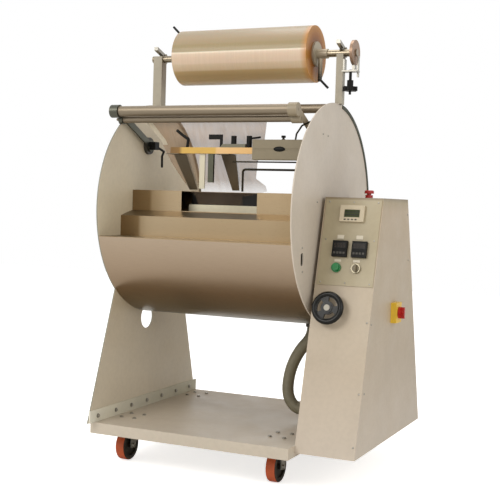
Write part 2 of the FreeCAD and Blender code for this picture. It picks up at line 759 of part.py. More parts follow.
def brake_bracket():
    """Angle on the right post with a shoe below the disc and an arm beside it."""
    post_face = POST_X + RIGHT_POST_SIDE / 2
    front = BRACKET_FRONT
    rear = BRACKET_REAR
    post_front = POST_Y - RIGHT_POST_SIDE / 2
    shelf_top = BRACKET_Z + BRACKET_T
    upright = box(post_face, post_face + BRACKET_T, post_front, rear, BRACKET_Z, BRACKET_TOP)
    shelf = box(post_face, BRACKET_RIGHT, front, rear, BRACKET_Z, shelf_top)
    shoe = box(BRAKE_X, BRAKE_X + BRAKE_T, POST_Y - SHOE_HALF, POST_Y + SHOE_HALF, shelf_top,
               ROLL_Z - BRAKE_R / 2)
    shoe = shoe.cut(rod_x(BRAKE_X - 1, BRAKE_X + BRAKE_T + 1, POST_Y, ROLL_Z, BRAKE_R + SHOE_GAP))
    arm = box(SIDE_ARM_X, BRACKET_RIGHT, POST_Y - SIDE_ARM_W / 2, POST_Y + SIDE_ARM_W / 2,
              SIDE_ARM_FOOT, SIDE_ARM_TOP)
    bore = rod_z(SCREW_X, SCREW_Y, BRACKET_Z - 1, shelf_top + 1, SCREW_R + RUNNING_FIT)
    return join([upright, shelf, shoe, arm]).cut(bore)


def star_knob():
    """Star grip on a screw that runs up through the brake's angle."""
    lobe_ring = STAR_R - STAR_LOBE_R
    pieces = [rod_z(SCREW_X, SCREW_Y, STAR_Z, STAR_Z + STAR_H, lobe_ring)]
    for index in range(STAR_LOBES):
        angle = 2 * math.pi * index / STAR_LOBES
        pieces.append(rod_z(SCREW_X + lobe_ring * math.cos(angle),
                            SCREW_Y + lobe_ring * math.sin(angle),
                            STAR_Z, STAR_Z + STAR_H, STAR_LOBE_R))
    pieces.append(rod_z(SCREW_X, SCREW_Y, STAR_Z, STAR_HUB_TOP, STAR_HUB_R))
    pieces.append(rod_z(SCREW_X, SCREW_Y, STAR_TIP_Z, STAR_Z, STAR_TIP_R))
    pieces.append(rod_z(SCREW_X, SCREW_Y, STAR_Z, BRACKET_Z + BRACKET_T + SCREW_OUT, SCREW_R))
    return join(pieces)


def shaft_latch(x, side):
    """Swinging bar over the shaft, on a pin behind the post."""
    x0 = x - LATCH_W / 2
    x1 = x + LATCH_W / 2
    pin_y = POST_Y + side / 2 + LATCH_PIN_OUT
    tip_z = LATCH_PIN_Z + LATCH_TIP_RISE
    bar = prism_x([
        (pin_y, LATCH_PIN_Z - LATCH_HALF_T), (pin_y, LATCH_PIN_Z + LATCH_HALF_T),
        (LATCH_TIP_Y, tip_z + LATCH_HALF_T), (LATCH_TIP_Y, tip_z - LATCH_HALF_T)], x0, x1)
    eye = rod_x(x0, x1, pin_y, LATCH_PIN_Z, LATCH_EYE_R)
    bore = rod_x(x0 - 1, x1 + 1, pin_y, LATCH_PIN_Z, LATCH_PIN_R + RUNNING_FIT)
    return join([bar, eye]).cut(bore)


def roller_arm(plate_x0, plate_x1, head_x0, head_x1, low_x0, low_x1):
    """Flat arm from the clamp to the two heads that carry the rollers."""
    run_y = UPPER_ROLLER_Y - CLAMP_Y
    run_z = UPPER_ROLLER_Z - CLAMP_Z
    length = math.hypot(run_y, run_z)
    side_y = -run_z / length * ARM_W / 2
    side_z = run_y / length * ARM_W / 2
    bar = prism_x([
        (CLAMP_Y + side_y, CLAMP_Z + side_z), (UPPER_ROLLER_Y + side_y, UPPER_ROLLER_Z + side_z),
        (UPPER_ROLLER_Y - side_y, UPPER_ROLLER_Z - side_z), (CLAMP_Y - side_y, CLAMP_Z - side_z)],
        plate_x0, plate_x1)
    eye = rod_x(plate_x0, plate_x1, CLAMP_Y, CLAMP_Z, ARM_EYE_R)
    upper_head = rod_x(min(plate_x0, head_x0), max(plate_x1, head_x1), UPPER_ROLLER_Y,
                       UPPER_ROLLER_Z, ARM_HEAD_R)
    lower_head = rod_x(min(plate_x0, low_x0), max(plate_x1, low_x1), LOWER_ROLLER_Y,
                       LOWER_ROLLER_Z, ARM_LOW_HEAD_R)
    arm = join([bar, eye, upper_head, lower_head])
    for y, z in ((UPPER_ROLLER_Y, UPPER_ROLLER_Z), (LOWER_ROLLER_Y, LOWER_ROLLER_Z)):
        low = min(plate_x0, head_x0) - 1
        high = max(plate_x1, head_x1) + 1
        arm = arm.cut(rod_x(low, high, y, z, ROLLER_PIN_R + RUNNING_FIT))
    return arm


LEFT_ARM_X = ROLLER_LEFT - ROLLER_PLAY - ARM_T
RIGHT_HEAD_X = ROLLER_RIGHT + ROLLER_PLAY
RIGHT_ARM_X = RIGHT_HEAD_X + ARM_HEAD_W


def roller_arms():
    left = roller_arm(LEFT_ARM_X, LEFT_ARM_X + ARM_T, LEFT_ARM_X - ARM_HEAD_W, LEFT_ARM_X,
                      LEFT_ARM_X - ARM_LOW_HEAD_W, LEFT_ARM_X)
    right = roller_arm(RIGHT_ARM_X, RIGHT_ARM_X + ARM_T, RIGHT_HEAD_X, RIGHT_ARM_X,
                       RIGHT_HEAD_X, RIGHT_ARM_X)
    return Part.makeCompound([left, right])


def bent_rod(places, radius):
    """Straight rods from place to place, with a ball at each corner."""
    pieces = [between(one, two, radius) for one, two in zip(places, places[1:])]
    pieces += [Part.makeSphere(radius, corner) for corner in places[1:-1]]
    return join(pieces)


def arm_clamps():
    """Round bosses on the cheeks that the arms are clamped to, one with a lever."""
    half = CLAMP_KNOB_SIDE / 2
    left = rod_x(-CHEEK_INNER, LEFT_ARM_X, CLAMP_Y, CLAMP_Z, CLAMP_R)
    face = LEFT_ARM_X + ARM_T
    left_knob = box(face, face + CLAMP_KNOB_T, CLAMP_Y - half, CLAMP_Y + half, CLAMP_Z - half,
                    CLAMP_Z + half)
    lever_x = face + CLAMP_KNOB_T - CLAMP_LEVER_R * 2
    lever = bent_rod([point(lever_x, CLAMP_Y + dy, CLAMP_Z + dz) for dy, dz in CLAMP_LEVER],
                     CLAMP_LEVER_R)
    right = rod_x(RIGHT_ARM_X + ARM_T, CHEEK_INNER, CLAMP_Y, CLAMP_Z, CLAMP_R)
    right_knob = box(RIGHT_ARM_X - CLAMP_KNOB_T, RIGHT_ARM_X, CLAMP_Y - half, CLAMP_Y + half,
                     CLAMP_Z - half, CLAMP_Z + half)
    return Part.makeCompound([left, join([left_knob, lever]), right, right_knob])


def film_roller(y, z, radius):
    body = rod_x(ROLLER_LEFT, ROLLER_RIGHT, y, z, radius)
    pins = rod_x(LEFT_ARM_X - ARM_HEAD_W + 4, RIGHT_ARM_X + ARM_T, y, z, ROLLER_PIN_R)
    return join([body, pins])


def console_outline(inset):
    front_slope = math.tan(LEAN)
    rear_slope = math.tan(math.radians(REAR_LEAN_DEG))
    front_inset = inset / math.cos(LEAN)
    rear_inset = inset / math.cos(math.radians(REAR_LEAN_DEG))

    def front_y(z):
        return CONSOLE_TOP_FRONT - (CONSOLE_TOP - z) * front_slope + front_inset

    def rear_y(z):
        return CONSOLE_TOP_REAR + (CONSOLE_TOP - z) * rear_slope - rear_inset

    top = CONSOLE_TOP - inset
    foot = CONSOLE_BOTTOM + inset
    return [(front_y(top), top), (rear_y(top), top), (rear_y(foot), foot), (front_y(foot), foot)]


def console_cabinet():
    shell = prism_x(console_outline(0), CONSOLE_LEFT, CONSOLE_RIGHT)
    hollow = prism_x(console_outline(CABINET_T), CONSOLE_LEFT + CABINET_T,
                     CONSOLE_RIGHT - CABINET_T)
    return shell.cut(hollow)


def console_spacers():
    """Sleeves that bolt the right cheek to the console's side."""
    spacers = []
    for y, z in SPACER_PLACES:
        spacers.append(rod_x(CHEEK_OUTER, CONSOLE_LEFT, y, z, SPACER_R))
    return Part.makeCompound(spacers)


def control_panel():
    return front_plate(PANEL_LEFT, PANEL_RIGHT, PANEL_BOTTOM, PANEL_TOP, 0, PANEL_T)


def display_unit():
    lift = PANEL_T + DISPLAY_D
    case = front_plate(DISPLAY_U - DISPLAY_W / 2, DISPLAY_U + DISPLAY_W / 2,
                       DISPLAY_V - DISPLAY_H / 2, DISPLAY_V + DISPLAY_H / 2, PANEL_T, lift)
    window = front_plate(DISPLAY_U - WINDOW_W / 2, DISPLAY_U + WINDOW_W / 2,
                         DISPLAY_V - WINDOW_H / 2, DISPLAY_V + WINDOW_H / 2,
                         lift - WINDOW_DEPTH, lift + 1)
    return case.cut(window)


def temperature_controllers():
    cases = []
    for u in (LEFT_CONTROLLER_U, RIGHT_CONTROLLER_U):
        cases.append(front_plate(u - CONTROLLER_W / 2, u + CONTROLLER_W / 2,
                                 CONTROLLER_V - CONTROLLER_H / 2,
                                 CONTROLLER_V + CONTROLLER_H / 2,
                                 PANEL_T, PANEL_T + CONTROLLER_D))
    return Part.makeCompound(cases)


def button_collars():
    """Collars round the start button, the selector and the emergency stop."""
    rings = [estop_collar()]
    for u, radius in ((BUTTON_U, BUTTON_R), (SELECTOR_U, SELECTOR_R)):
        ring = front_rod(u, BUTTON_V, PANEL_T, PANEL_T + BUTTON_RING_H, radius + BUTTON_RING_WALL)
        rings.append(ring.cut(front_rod(u, BUTTON_V, PANEL_T, PANEL_T + BUTTON_RING_H + 1,
                                        radius + SMALL_GAP)))
    return Part.makeCompound(rings)


def start_button():
    foot = PANEL_T + BUTTON_LIFT
    return front_rod(BUTTON_U, BUTTON_V, foot, foot + BUTTON_H, BUTTON_R)


def selector_knob():
    base = front_rod(SELECTOR_U, BUTTON_V, PANEL_T + SMALL_GAP,
                     PANEL_T + BUTTON_RING_H + SELECTOR_RISE, SELECTOR_R)
    grip = front_plate(SELECTOR_U - SELECTOR_GRIP_HALF, SELECTOR_U + SELECTOR_GRIP_HALF,
                       BUTTON_V - SELECTOR_R,
                       BUTTON_V + SELECTOR_R, PANEL_T + BUTTON_RING_H, PANEL_T + SELECTOR_H)
    return join([base, grip])


def handwheel_spindle():
    return front_rod(HANDWHEEL_U, HANDWHEEL_V, 0, HANDWHEEL_LIFT + HANDWHEEL_WEB_HALF, SPINDLE_R)


def wheel_window(angle_deg):
    """Kidney-shaped window through the handwheel's web, centred at an angle."""
    low = HANDWHEEL_LIFT - HANDWHEEL_WEB_HALF - 1
    high = HANDWHEEL_LIFT + HANDWHEEL_WEB_HALF + 1
    centre = front_point(HANDWHEEL_U, HANDWHEEL_V, low)
    start = angle_deg - HANDWHEEL_WINDOW_SWEEP / 2
    pieces = []
    for radius in (HANDWHEEL_WINDOW_OUT, HANDWHEEL_WINDOW_IN):
        sector = Part.makeCylinder(radius, high - low, centre, FRONT_OUT, HANDWHEEL_WINDOW_SWEEP)
        sector.rotate(centre, FRONT_OUT, start)
        pieces.append(sector)
    return pieces[0].cut(pieces[1])


def handwheel():
    centre = front_point(HANDWHEEL_U, HANDWHEEL_V, HANDWHEEL_LIFT)
    rim_path_r = HANDWHEEL_R - HANDWHEEL_RIM_R
    rim = Part.makeTorus(rim_path_r, HANDWHEEL_RIM_R, centre, FRONT_OUT)
    hub_top = HANDWHEEL_LIFT + HANDWHEEL_HUB_HIGH
    hub = front_rod(HANDWHEEL_U, HANDWHEEL_V, HANDWHEEL_LIFT - HANDWHEEL_HUB_LOW, hub_top,
                    HANDWHEEL_HUB_R)
    cap = front_rod(HANDWHEEL_U, HANDWHEEL_V, hub_top, hub_top + HANDWHEEL_CAP_H,
                    HANDWHEEL_CAP_R)
    web = front_rod(HANDWHEEL_U, HANDWHEEL_V, HANDWHEEL_LIFT - HANDWHEEL_WEB_HALF,
                    HANDWHEEL_LIFT + HANDWHEEL_WEB_HALF, rim_path_r)
    for angle in HANDWHEEL_WINDOWS_DEG:
        web = web.cut(wheel_window(angle))
    bore = front_rod(HANDWHEEL_U, HANDWHEEL_V, 0, hub_top - 1, SPINDLE_R + RUNNING_FIT)
    return join([rim, web, hub, cap]).cut(bore)


def estop_collar():
    ring = rod_z(ESTOP_X, ESTOP_Y, CONSOLE_TOP, CONSOLE_TOP + ESTOP_COLLAR_H, ESTOP_COLLAR_R)
    return ring.cut(rod_z(ESTOP_X, ESTOP_Y, CONSOLE_TOP, CONSOLE_TOP + ESTOP_COLLAR_H + 1,
                          ESTOP_STEM_R + SMALL_GAP))


def emergency_stop():
    collar_top = CONSOLE_TOP + ESTOP_COLLAR_H
    cap_foot = collar_top + ESTOP_GAP
    cap_top = cap_foot + ESTOP_CAP_H
    stem = rod_z(ESTOP_X, ESTOP_Y, CONSOLE_TOP + ESTOP_STEM_LOW, cap_foot + 1, ESTOP_STEM_R)
    cap = rod_z(ESTOP_X, ESTOP_Y, cap_foot, cap_top, ESTOP_R)
    top_edges = [edge for edge in cap.Edges
                 if isinstance(edge.Curve, Part.Circle) and edge.BoundBox.ZMin > cap_top - 1]
    return join([cap.makeFillet(ESTOP_ROUND, top_edges), stem])


def main_switch_plate():
    body = box(CONSOLE_RIGHT, CONSOLE_RIGHT + SWITCH_D, SWITCH_Y - SWITCH_W / 2,
               SWITCH_Y + SWITCH_W / 2, SWITCH_Z - SWITCH_H / 2, SWITCH_Z + SWITCH_H / 2)
    recess = rod_x(CONSOLE_RIGHT + SWITCH_D - SWITCH_BORE, CONSOLE_RIGHT + SWITCH_D + 1, SWITCH_Y,
                   SWITCH_Z, AXLE_R + RUNNING_FIT)
    return body.cut(recess)


def main_switch_knob():
    face = CONSOLE_RIGHT + SWITCH_D
    disc_top = face + SWITCH_DISC_H
    stem = rod_x(face - SWITCH_STEM, disc_top, SWITCH_Y, SWITCH_Z, AXLE_R)
    disc = rod_x(face + HEAD_GAP, disc_top, SWITCH_Y, SWITCH_Z, SWITCH_KNOB_R)
    grip = box(disc_top - 1, face + SWITCH_KNOB_D, SWITCH_Y - SWITCH_GRIP_HALF,
               SWITCH_Y + SWITCH_GRIP_HALF, SWITCH_Z - SWITCH_KNOB_R + 1,
               SWITCH_Z + SWITCH_KNOB_R - 1)
    return join([stem, disc, grip])


def collar_bar():
    return box(COLLAR_LEFT, COLLAR_RIGHT, COLLAR_Y - COLLAR_D / 2, COLLAR_Y + COLLAR_D / 2,
               COLLAR_Z - COLLAR_H / 2, COLLAR_Z + COLLAR_H / 2)


def film_y(z):
    """Front face of the film at a height: a flat run, then upright at the jaws."""
    top_y = LOWER_ROLLER_Y + LOWER_ROLLER_R + SMALL_GAP
    jaw_y = (FRONT_JAW_Y + FRONT_JAW_T + REAR_JAW_Y) / 2
    share = (LOWER_ROLLER_Z - max(z, FRONT_JAW_TOP)) / (LOWER_ROLLER_Z - FRONT_JAW_TOP)
    return top_y + (jaw_y - top_y) * share


def forming_plate(top, foot):
    """Flat guide just in front of the film, on a flange below the collar bar."""
    bar_foot = COLLAR_Z - COLLAR_H / 2
    top_y = film_y(bar_foot) - FORMING_LEAD
    foot_y = film_y(FORMING_FOOT_Z) - FORMING_LEAD
    corners = [
        point(top[0], top_y, bar_foot), point(top[1], top_y, bar_foot),
        point(foot[1], foot_y, FORMING_FOOT_Z), point(foot[0], foot_y, FORMING_FOOT_Z)]
    face = Part.Face(Part.makePolygon(corners + corners[:1]))
    plate = face.extrude(point(0, -FORMING_T, 0))
    flange = box(top[0], top[1], COLLAR_Y - COLLAR_D / 2, top_y, bar_foot - FORMING_T, bar_foot)
    return join([plate, flange])


def forming_plates():
    return Part.makeCompound([forming_plate(LEFT_FORMING_TOP, LEFT_FORMING_FOOT),
                              forming_plate(RIGHT_FORMING_TOP, RIGHT_FORMING_FOOT)])


def guide_strips():
    """Pale strip and dark gauge bar that hang from the collar bar."""
    foot = COLLAR_Z - COLLAR_H / 2
    strips = []
    for (x0, x1), thickness, z0 in ((PALE_STRIP_X, PALE_STRIP_T, PALE_STRIP_Z),
                                    (GAUGE_BAR_X, GAUGE_BAR_T, GAUGE_BAR_Z)):
        strips.append(box(x0, x1, COLLAR_Y - thickness / 2, COLLAR_Y + thickness / 2, z0, foot))
    return Part.makeCompound(strips)


def carriage_beam():
    """Two stacked box sections, the upper one closed by its own wall."""
    boxes = []
    for z0 in (BEAM_JOINT_Z - BEAM_H, BEAM_JOINT_Z):
        outer = box(BEAM_LEFT, CHEEK_INNER, BEAM_Y, BEAM_Y + BEAM_D, z0, z0 + BEAM_H)
        inner = box(BEAM_LEFT - 1, CHEEK_INNER + 1, BEAM_Y + BEAM_WALL,
                    BEAM_Y + BEAM_D - BEAM_WALL, z0 + BEAM_WALL, z0 + BEAM_H - BEAM_WALL)
        boxes.append(outer.cut(inner))
    boxes.append(box(BEAM_LEFT - BEAM_END_T, BEAM_LEFT, BEAM_Y, BEAM_Y + BEAM_D,
                     BEAM_JOINT_Z - BEAM_H, BEAM_JOINT_Z + BEAM_H))
    return join(boxes)


def clamp_knobs():
    """Block, two knobs, a tab and a lever on the collar bar, and a handle at its left."""
    front = COLLAR_Y - COLLAR_D / 2
    rear = COLLAR_Y + COLLAR_D / 2
    top = COLLAR_Z + COLLAR_H / 2
    left, right = CLAMP_BLOCK_X
    pieces = [box(left, right, front, rear, top, top + CLAMP_BLOCK_H)]
    pieces.append(box(left, left + TAB_STEM_W, front, front + TAB_T, top, top + TAB_TOP))
    pieces.append(box(TAB_X[0], TAB_X[1] + 1, front, front + TAB_T, top + TAB_FOOT, top + TAB_TOP))
    for x in CLAMP_KNOB_X:
        pieces.append(rod_z(x, COLLAR_Y, top, top + CLAMP_KNOB_H, CLAMP_KNOB_R))
    knob_top = point(CLAMP_KNOB_X[1], COLLAR_Y, top + CLAMP_KNOB_H - CLAMP_KNOB_R)
    lever_end = point(TOP_LEVER_END[0], COLLAR_Y, TOP_LEVER_END[1])
    pieces.append(between(knob_top, lever_end, TOP_LEVER_R))
    handle = bent_rod([point(x, COLLAR_Y, z) for x, z in HANDLE_ROUTE], HANDLE_R)
    bar = box(COLLAR_LEFT, COLLAR_RIGHT, front, rear, top - COLLAR_H, top)
    return Part.makeCompound([join(pieces), handle.cut(bar)])


def guide_rods():
    thin = rod_x(THIN_ROD_X, CHEEK_INNER, THIN_ROD_Y, THIN_ROD_Z, THIN_ROD_R)
    start = point(CHEEK_INNER, BENT_ROD_Y, BENT_ROD_Z)
    corner = point(BENT_ROD_X, BENT_ROD_Y, BENT_ROD_Z)
    end = point(BENT_ROD_X, BENT_ROD_Y, BENT_ROD_FOOT)
    before = corner + X_AXIS * BENT_ROD_BEND
    after = corner - Z_AXIS * BENT_ROD_BEND
    middle = corner + (X_AXIS - Z_AXIS) * (BENT_ROD_BEND * (1 - math.sqrt(0.5)))
    path = Part.Wire([
        Part.LineSegment(start, before).toShape(),
        Part.Arc(before, middle, after).toShape(),
        Part.LineSegment(after, end).toShape()])
    ring = Part.Wire(Part.makeCircle(BENT_ROD_R, start, X_AXIS))
    bent = path.makePipeShell([ring], True, False)
    arched = bent_rod([point(x, ARCHED_ROD_Y, z) for x, z in ARCHED_ROD_ROUTE], ARCHED_ROD_R)
    arched = arched.common(box(BEAM_LEFT, CHEEK_INNER, BEAM_Y, BEAM_Y + BEAM_D,
                               BEAM_JOINT_Z + BEAM_H, CHEEK_AXIS_Z + CHEEK_R))
    return Part.makeCompound([thin, bent, arched])


def film_web():
    """Film from the lower roller to the jaws, narrowing to the bag's width."""
    panels = []
    rows = [(LOWER_ROLLER_Z, *FILM_TOP_EDGES)] + FILM_EDGES
    for (z0, left0, right0), (z1, left1, right1) in zip(rows, rows[1:]):
        corners = [point(left0, film_y(z0), z0), point(right0, film_y(z0), z0),
                   point(right1, film_y(z1), z1), point(left1, film_y(z1), z1)]
        face = Part.Face(Part.makePolygon(corners + corners[:1]))
        panels.append(face.extrude(point(0, FILM_T, 0)))
    return join(panels)


def conduit_glands():
    top = rod_z(CONDUIT_X, 0, DRUM_FOOT_Z - GLAND_H, DRUM_FOOT_Z, GLAND_R)
    side = rod_x(CONDUIT_ROUTE[-1][0], CONSOLE_LEFT, 0, CONDUIT_ROUTE[-1][2], GLAND_R)
    return Part.makeCompound([top, side])


def service_conduit():
    tube, length, radii = round_tube(CONDUIT_ROUTE, CONDUIT_R)
    section = math.pi * CONDUIT_R ** 2
    print("conduit length", round(length, 1), "radii", [round(radius, 1) for radius in radii],
          "volume share", round(tube.Volume / (section * length), 5))
    return tube


def castor_nodes():
    nodes = {}
    for name, x, y in castor_places():
        nodes[name + "_castor_fork"] = castor_fork(x, y)
        nodes[name + "_castor_wheel"] = castor_wheel(x, y)
    return nodes


def build():
    nodes = {
        "base_platform": base_platform(),
        "castor_plates": castor_plates(),
        "left_cheek": left_cheek(),
        "right_cheek": right_cheek(),
        "left_foot_bar": foot_bar(),
        "rim_trims": rim_trims(),
        "drum_shell": drum_shell(),
        "lower_step": lower_step(),
        "upper_step": upper_step(),
        "rear_steps": rear_steps(),
        "front_jaw": front_jaw(),
        "rear_jaw": rear_jaw(),
        "jaw_rails": jaw_rails(),
        "tie_bar": tie_bar(),
        "roll_posts": roll_posts(),
        "roll_shaft": roll_shaft(),
        "film_roll": film_roll(),
        "roll_core": roll_core(),
        "roll_chucks": roll_chucks(),
        "brake_disc": brake_disc(),
        "brake_bracket": brake_bracket(),
        "star_knob": star_knob(),
        "left_latch": shaft_latch(-POST_X, LEFT_POST_SIDE),
        "right_latch": shaft_latch(POST_X, RIGHT_POST_SIDE),
        "roller_arms": roller_arms(),
        "arm_clamps": arm_clamps(),
        "upper_roller": film_roller(UPPER_ROLLER_Y, UPPER_ROLLER_Z, UPPER_ROLLER_R),
        "lower_roller": film_roller(LOWER_ROLLER_Y, LOWER_ROLLER_Z, LOWER_ROLLER_R),
        "console_cabinet": console_cabinet(),
        "console_spacers": console_spacers(),
        "control_panel": control_panel(),
        "display_unit": display_unit(),
        "temperature_controllers": temperature_controllers(),
        "button_collars": button_collars(),
        "start_button": start_button(),
        "selector_knob": selector_knob(),
        "handwheel_spindle": handwheel_spindle(),
        "handwheel": handwheel(),
        "emergency_stop": emergency_stop(),
        "main_switch_plate": main_switch_plate(),
        "main_switch_knob": main_switch_knob(),
        "collar_bar": collar_bar(),
        "forming_plates": forming_plates(),
        "guide_strips": guide_strips(),
        "carriage_beam": carriage_beam(),
        "clamp_knobs": clamp_knobs(),
        "guide_rods": guide_rods(),
        "film_web": film_web(),
        "conduit_glands": conduit_glands(),
        "service_conduit": service_conduit(),
    }
    nodes.update(castor_nodes())
    return nodes


def main():
    os.makedirs("parts", exist_ok=True)
    for name, shape in build().items():
        shape.translate(ORIGIN_SHIFT)
        shape.exportStep("parts/" + name + ".step")


main()
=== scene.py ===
import math

import bmesh
import bpy
from mathutils import Matrix, Vector

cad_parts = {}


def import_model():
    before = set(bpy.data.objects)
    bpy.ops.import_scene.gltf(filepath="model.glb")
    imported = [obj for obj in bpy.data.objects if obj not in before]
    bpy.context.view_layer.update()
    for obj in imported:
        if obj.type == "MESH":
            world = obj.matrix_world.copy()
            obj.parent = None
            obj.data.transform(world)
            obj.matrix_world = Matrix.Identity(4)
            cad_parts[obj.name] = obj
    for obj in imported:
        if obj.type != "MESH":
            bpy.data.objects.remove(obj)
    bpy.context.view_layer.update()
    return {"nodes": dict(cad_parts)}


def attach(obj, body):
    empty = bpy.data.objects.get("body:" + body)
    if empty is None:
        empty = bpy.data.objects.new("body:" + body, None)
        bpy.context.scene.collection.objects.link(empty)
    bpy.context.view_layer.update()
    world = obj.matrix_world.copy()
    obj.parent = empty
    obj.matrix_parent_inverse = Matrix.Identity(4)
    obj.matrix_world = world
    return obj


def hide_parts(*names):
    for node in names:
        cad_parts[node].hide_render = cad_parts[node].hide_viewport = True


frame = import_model()
NODES = frame["nodes"]

# Sizes in millimetres in the machine's own frame, as in the CAD source:
# x = 0 midway between the cheeks, y = 0 on the drum's axis, z = 0 on the floor.
# SHIFT, in metres, takes a place from that frame to the part's. LEAN is how far the
# console's front leans back.
SHIFT = Vector((-0.137, -0.001392, 0.0))
CHEEK_INNER = 425.0
CHEEK_OUTER = 430.0
CONSOLE_LEFT = 445.5
CONSOLE_RIGHT = 688.0
CONSOLE_TOP = 1130.0
CONSOLE_TOP_FRONT = -142.0
LEAN = math.radians(14.45)
PANEL_T = 3.0
BASE_TOP = 175.0
ROLL_X = 6.0
ROLL_Y = 31.0
ROLL_Z = 1726.0

X_AXIS = Vector((1, 0, 0))
Y_AXIS = Vector((0, 1, 0))
Z_AXIS = Vector((0, 0, 1))
FRONT_UP = Vector((0, math.sin(LEAN), math.cos(LEAN)))
FRONT_OUT = Vector((0, -math.cos(LEAN), math.sin(LEAN)))


def at(x, y, z):
    """A place in the machine's frame in millimetres, in the part's frame in metres."""
    return Vector((x, y, z)) / 1000 + SHIFT


def at_x(x):
    """The part's x, in metres, of an x in the machine's frame in millimetres."""
    return at(x, 0, 0).x


def on_front(u, v, lift=0.0):
    """A place on the console's leaning front, measured from its top left corner."""
    corner = Vector((CONSOLE_LEFT + u, CONSOLE_TOP_FRONT, CONSOLE_TOP))
    return (corner + FRONT_UP * v + FRONT_OUT * lift) / 1000 + SHIFT


def axes(place, x_dir, z_dir):
    """Matrix with its origin at place, its x along x_dir and its z along z_dir."""
    z = z_dir.normalized()
    x = (x_dir - z * x_dir.dot(z)).normalized()
    y = z.cross(x)
    return Matrix((
        (x.x, y.x, z.x, place.x), (x.y, y.y, z.y, place.y), (x.z, y.z, z.z, place.z),
        (0, 0, 0, 1)))


def front_axes(u, v):
    """Axes at a place on the console's front: x to the right, y up it and z out of it."""
    return axes(on_front(u, v), X_AXIS, FRONT_OUT)


def placed(name, data):
    """A new object with this data in the scene."""
    made = bpy.data.objects.new(name, data)
    bpy.context.scene.collection.objects.link(made)
    return made


# Camera, fitted to the photo: its angles round the machine and down, and its tilt
AZIMUTH = math.radians(24.516)
PITCH = math.radians(2.664)
TILT = math.radians(1.708)
LENS = 73.56
SENSOR_W = 36.0
CAMERA_PLACE = at(1875.3, -3990.5, 1098.6)


def make_camera():
    """The photo's camera."""
    forward = Vector((-math.sin(AZIMUTH) * math.cos(PITCH), math.cos(AZIMUTH) * math.cos(PITCH),
                      -math.sin(PITCH)))
    level = Vector((math.cos(AZIMUTH), math.sin(AZIMUTH), 0))
    up = level.cross(forward)
    right = level * math.cos(TILT) + up * math.sin(TILT)
    top = up * math.cos(TILT) - level * math.sin(TILT)
    data = bpy.data.cameras.new("camera")
    data.lens = LENS
    data.sensor_width = SENSOR_W
    camera = placed("camera", data)
    camera.matrix_world = Matrix((
        (right.x, top.x, -forward.x, CAMERA_PLACE.x),
        (right.y, top.y, -forward.y, CAMERA_PLACE.y),
        (right.z, top.z, -forward.z, CAMERA_PLACE.z), (0, 0, 0, 1)))
    bpy.context.scene.camera = camera


make_camera()


# Materials
def rgb(red, green, blue):
    """Linear colour from the usual 0 to 255 values."""
    def linear(value):
        share = value / 255
        return share / 12.92 if share <= 0.04045 else ((share + 0.055) / 1.055) ** 2.4
    return (linear(red), linear(green), linear(blue), 1.0)


def darker(color, factor):
    """The colour with its three channels times a factor."""
    return tuple(channel * factor for channel in color[:3]) + (1.0,)


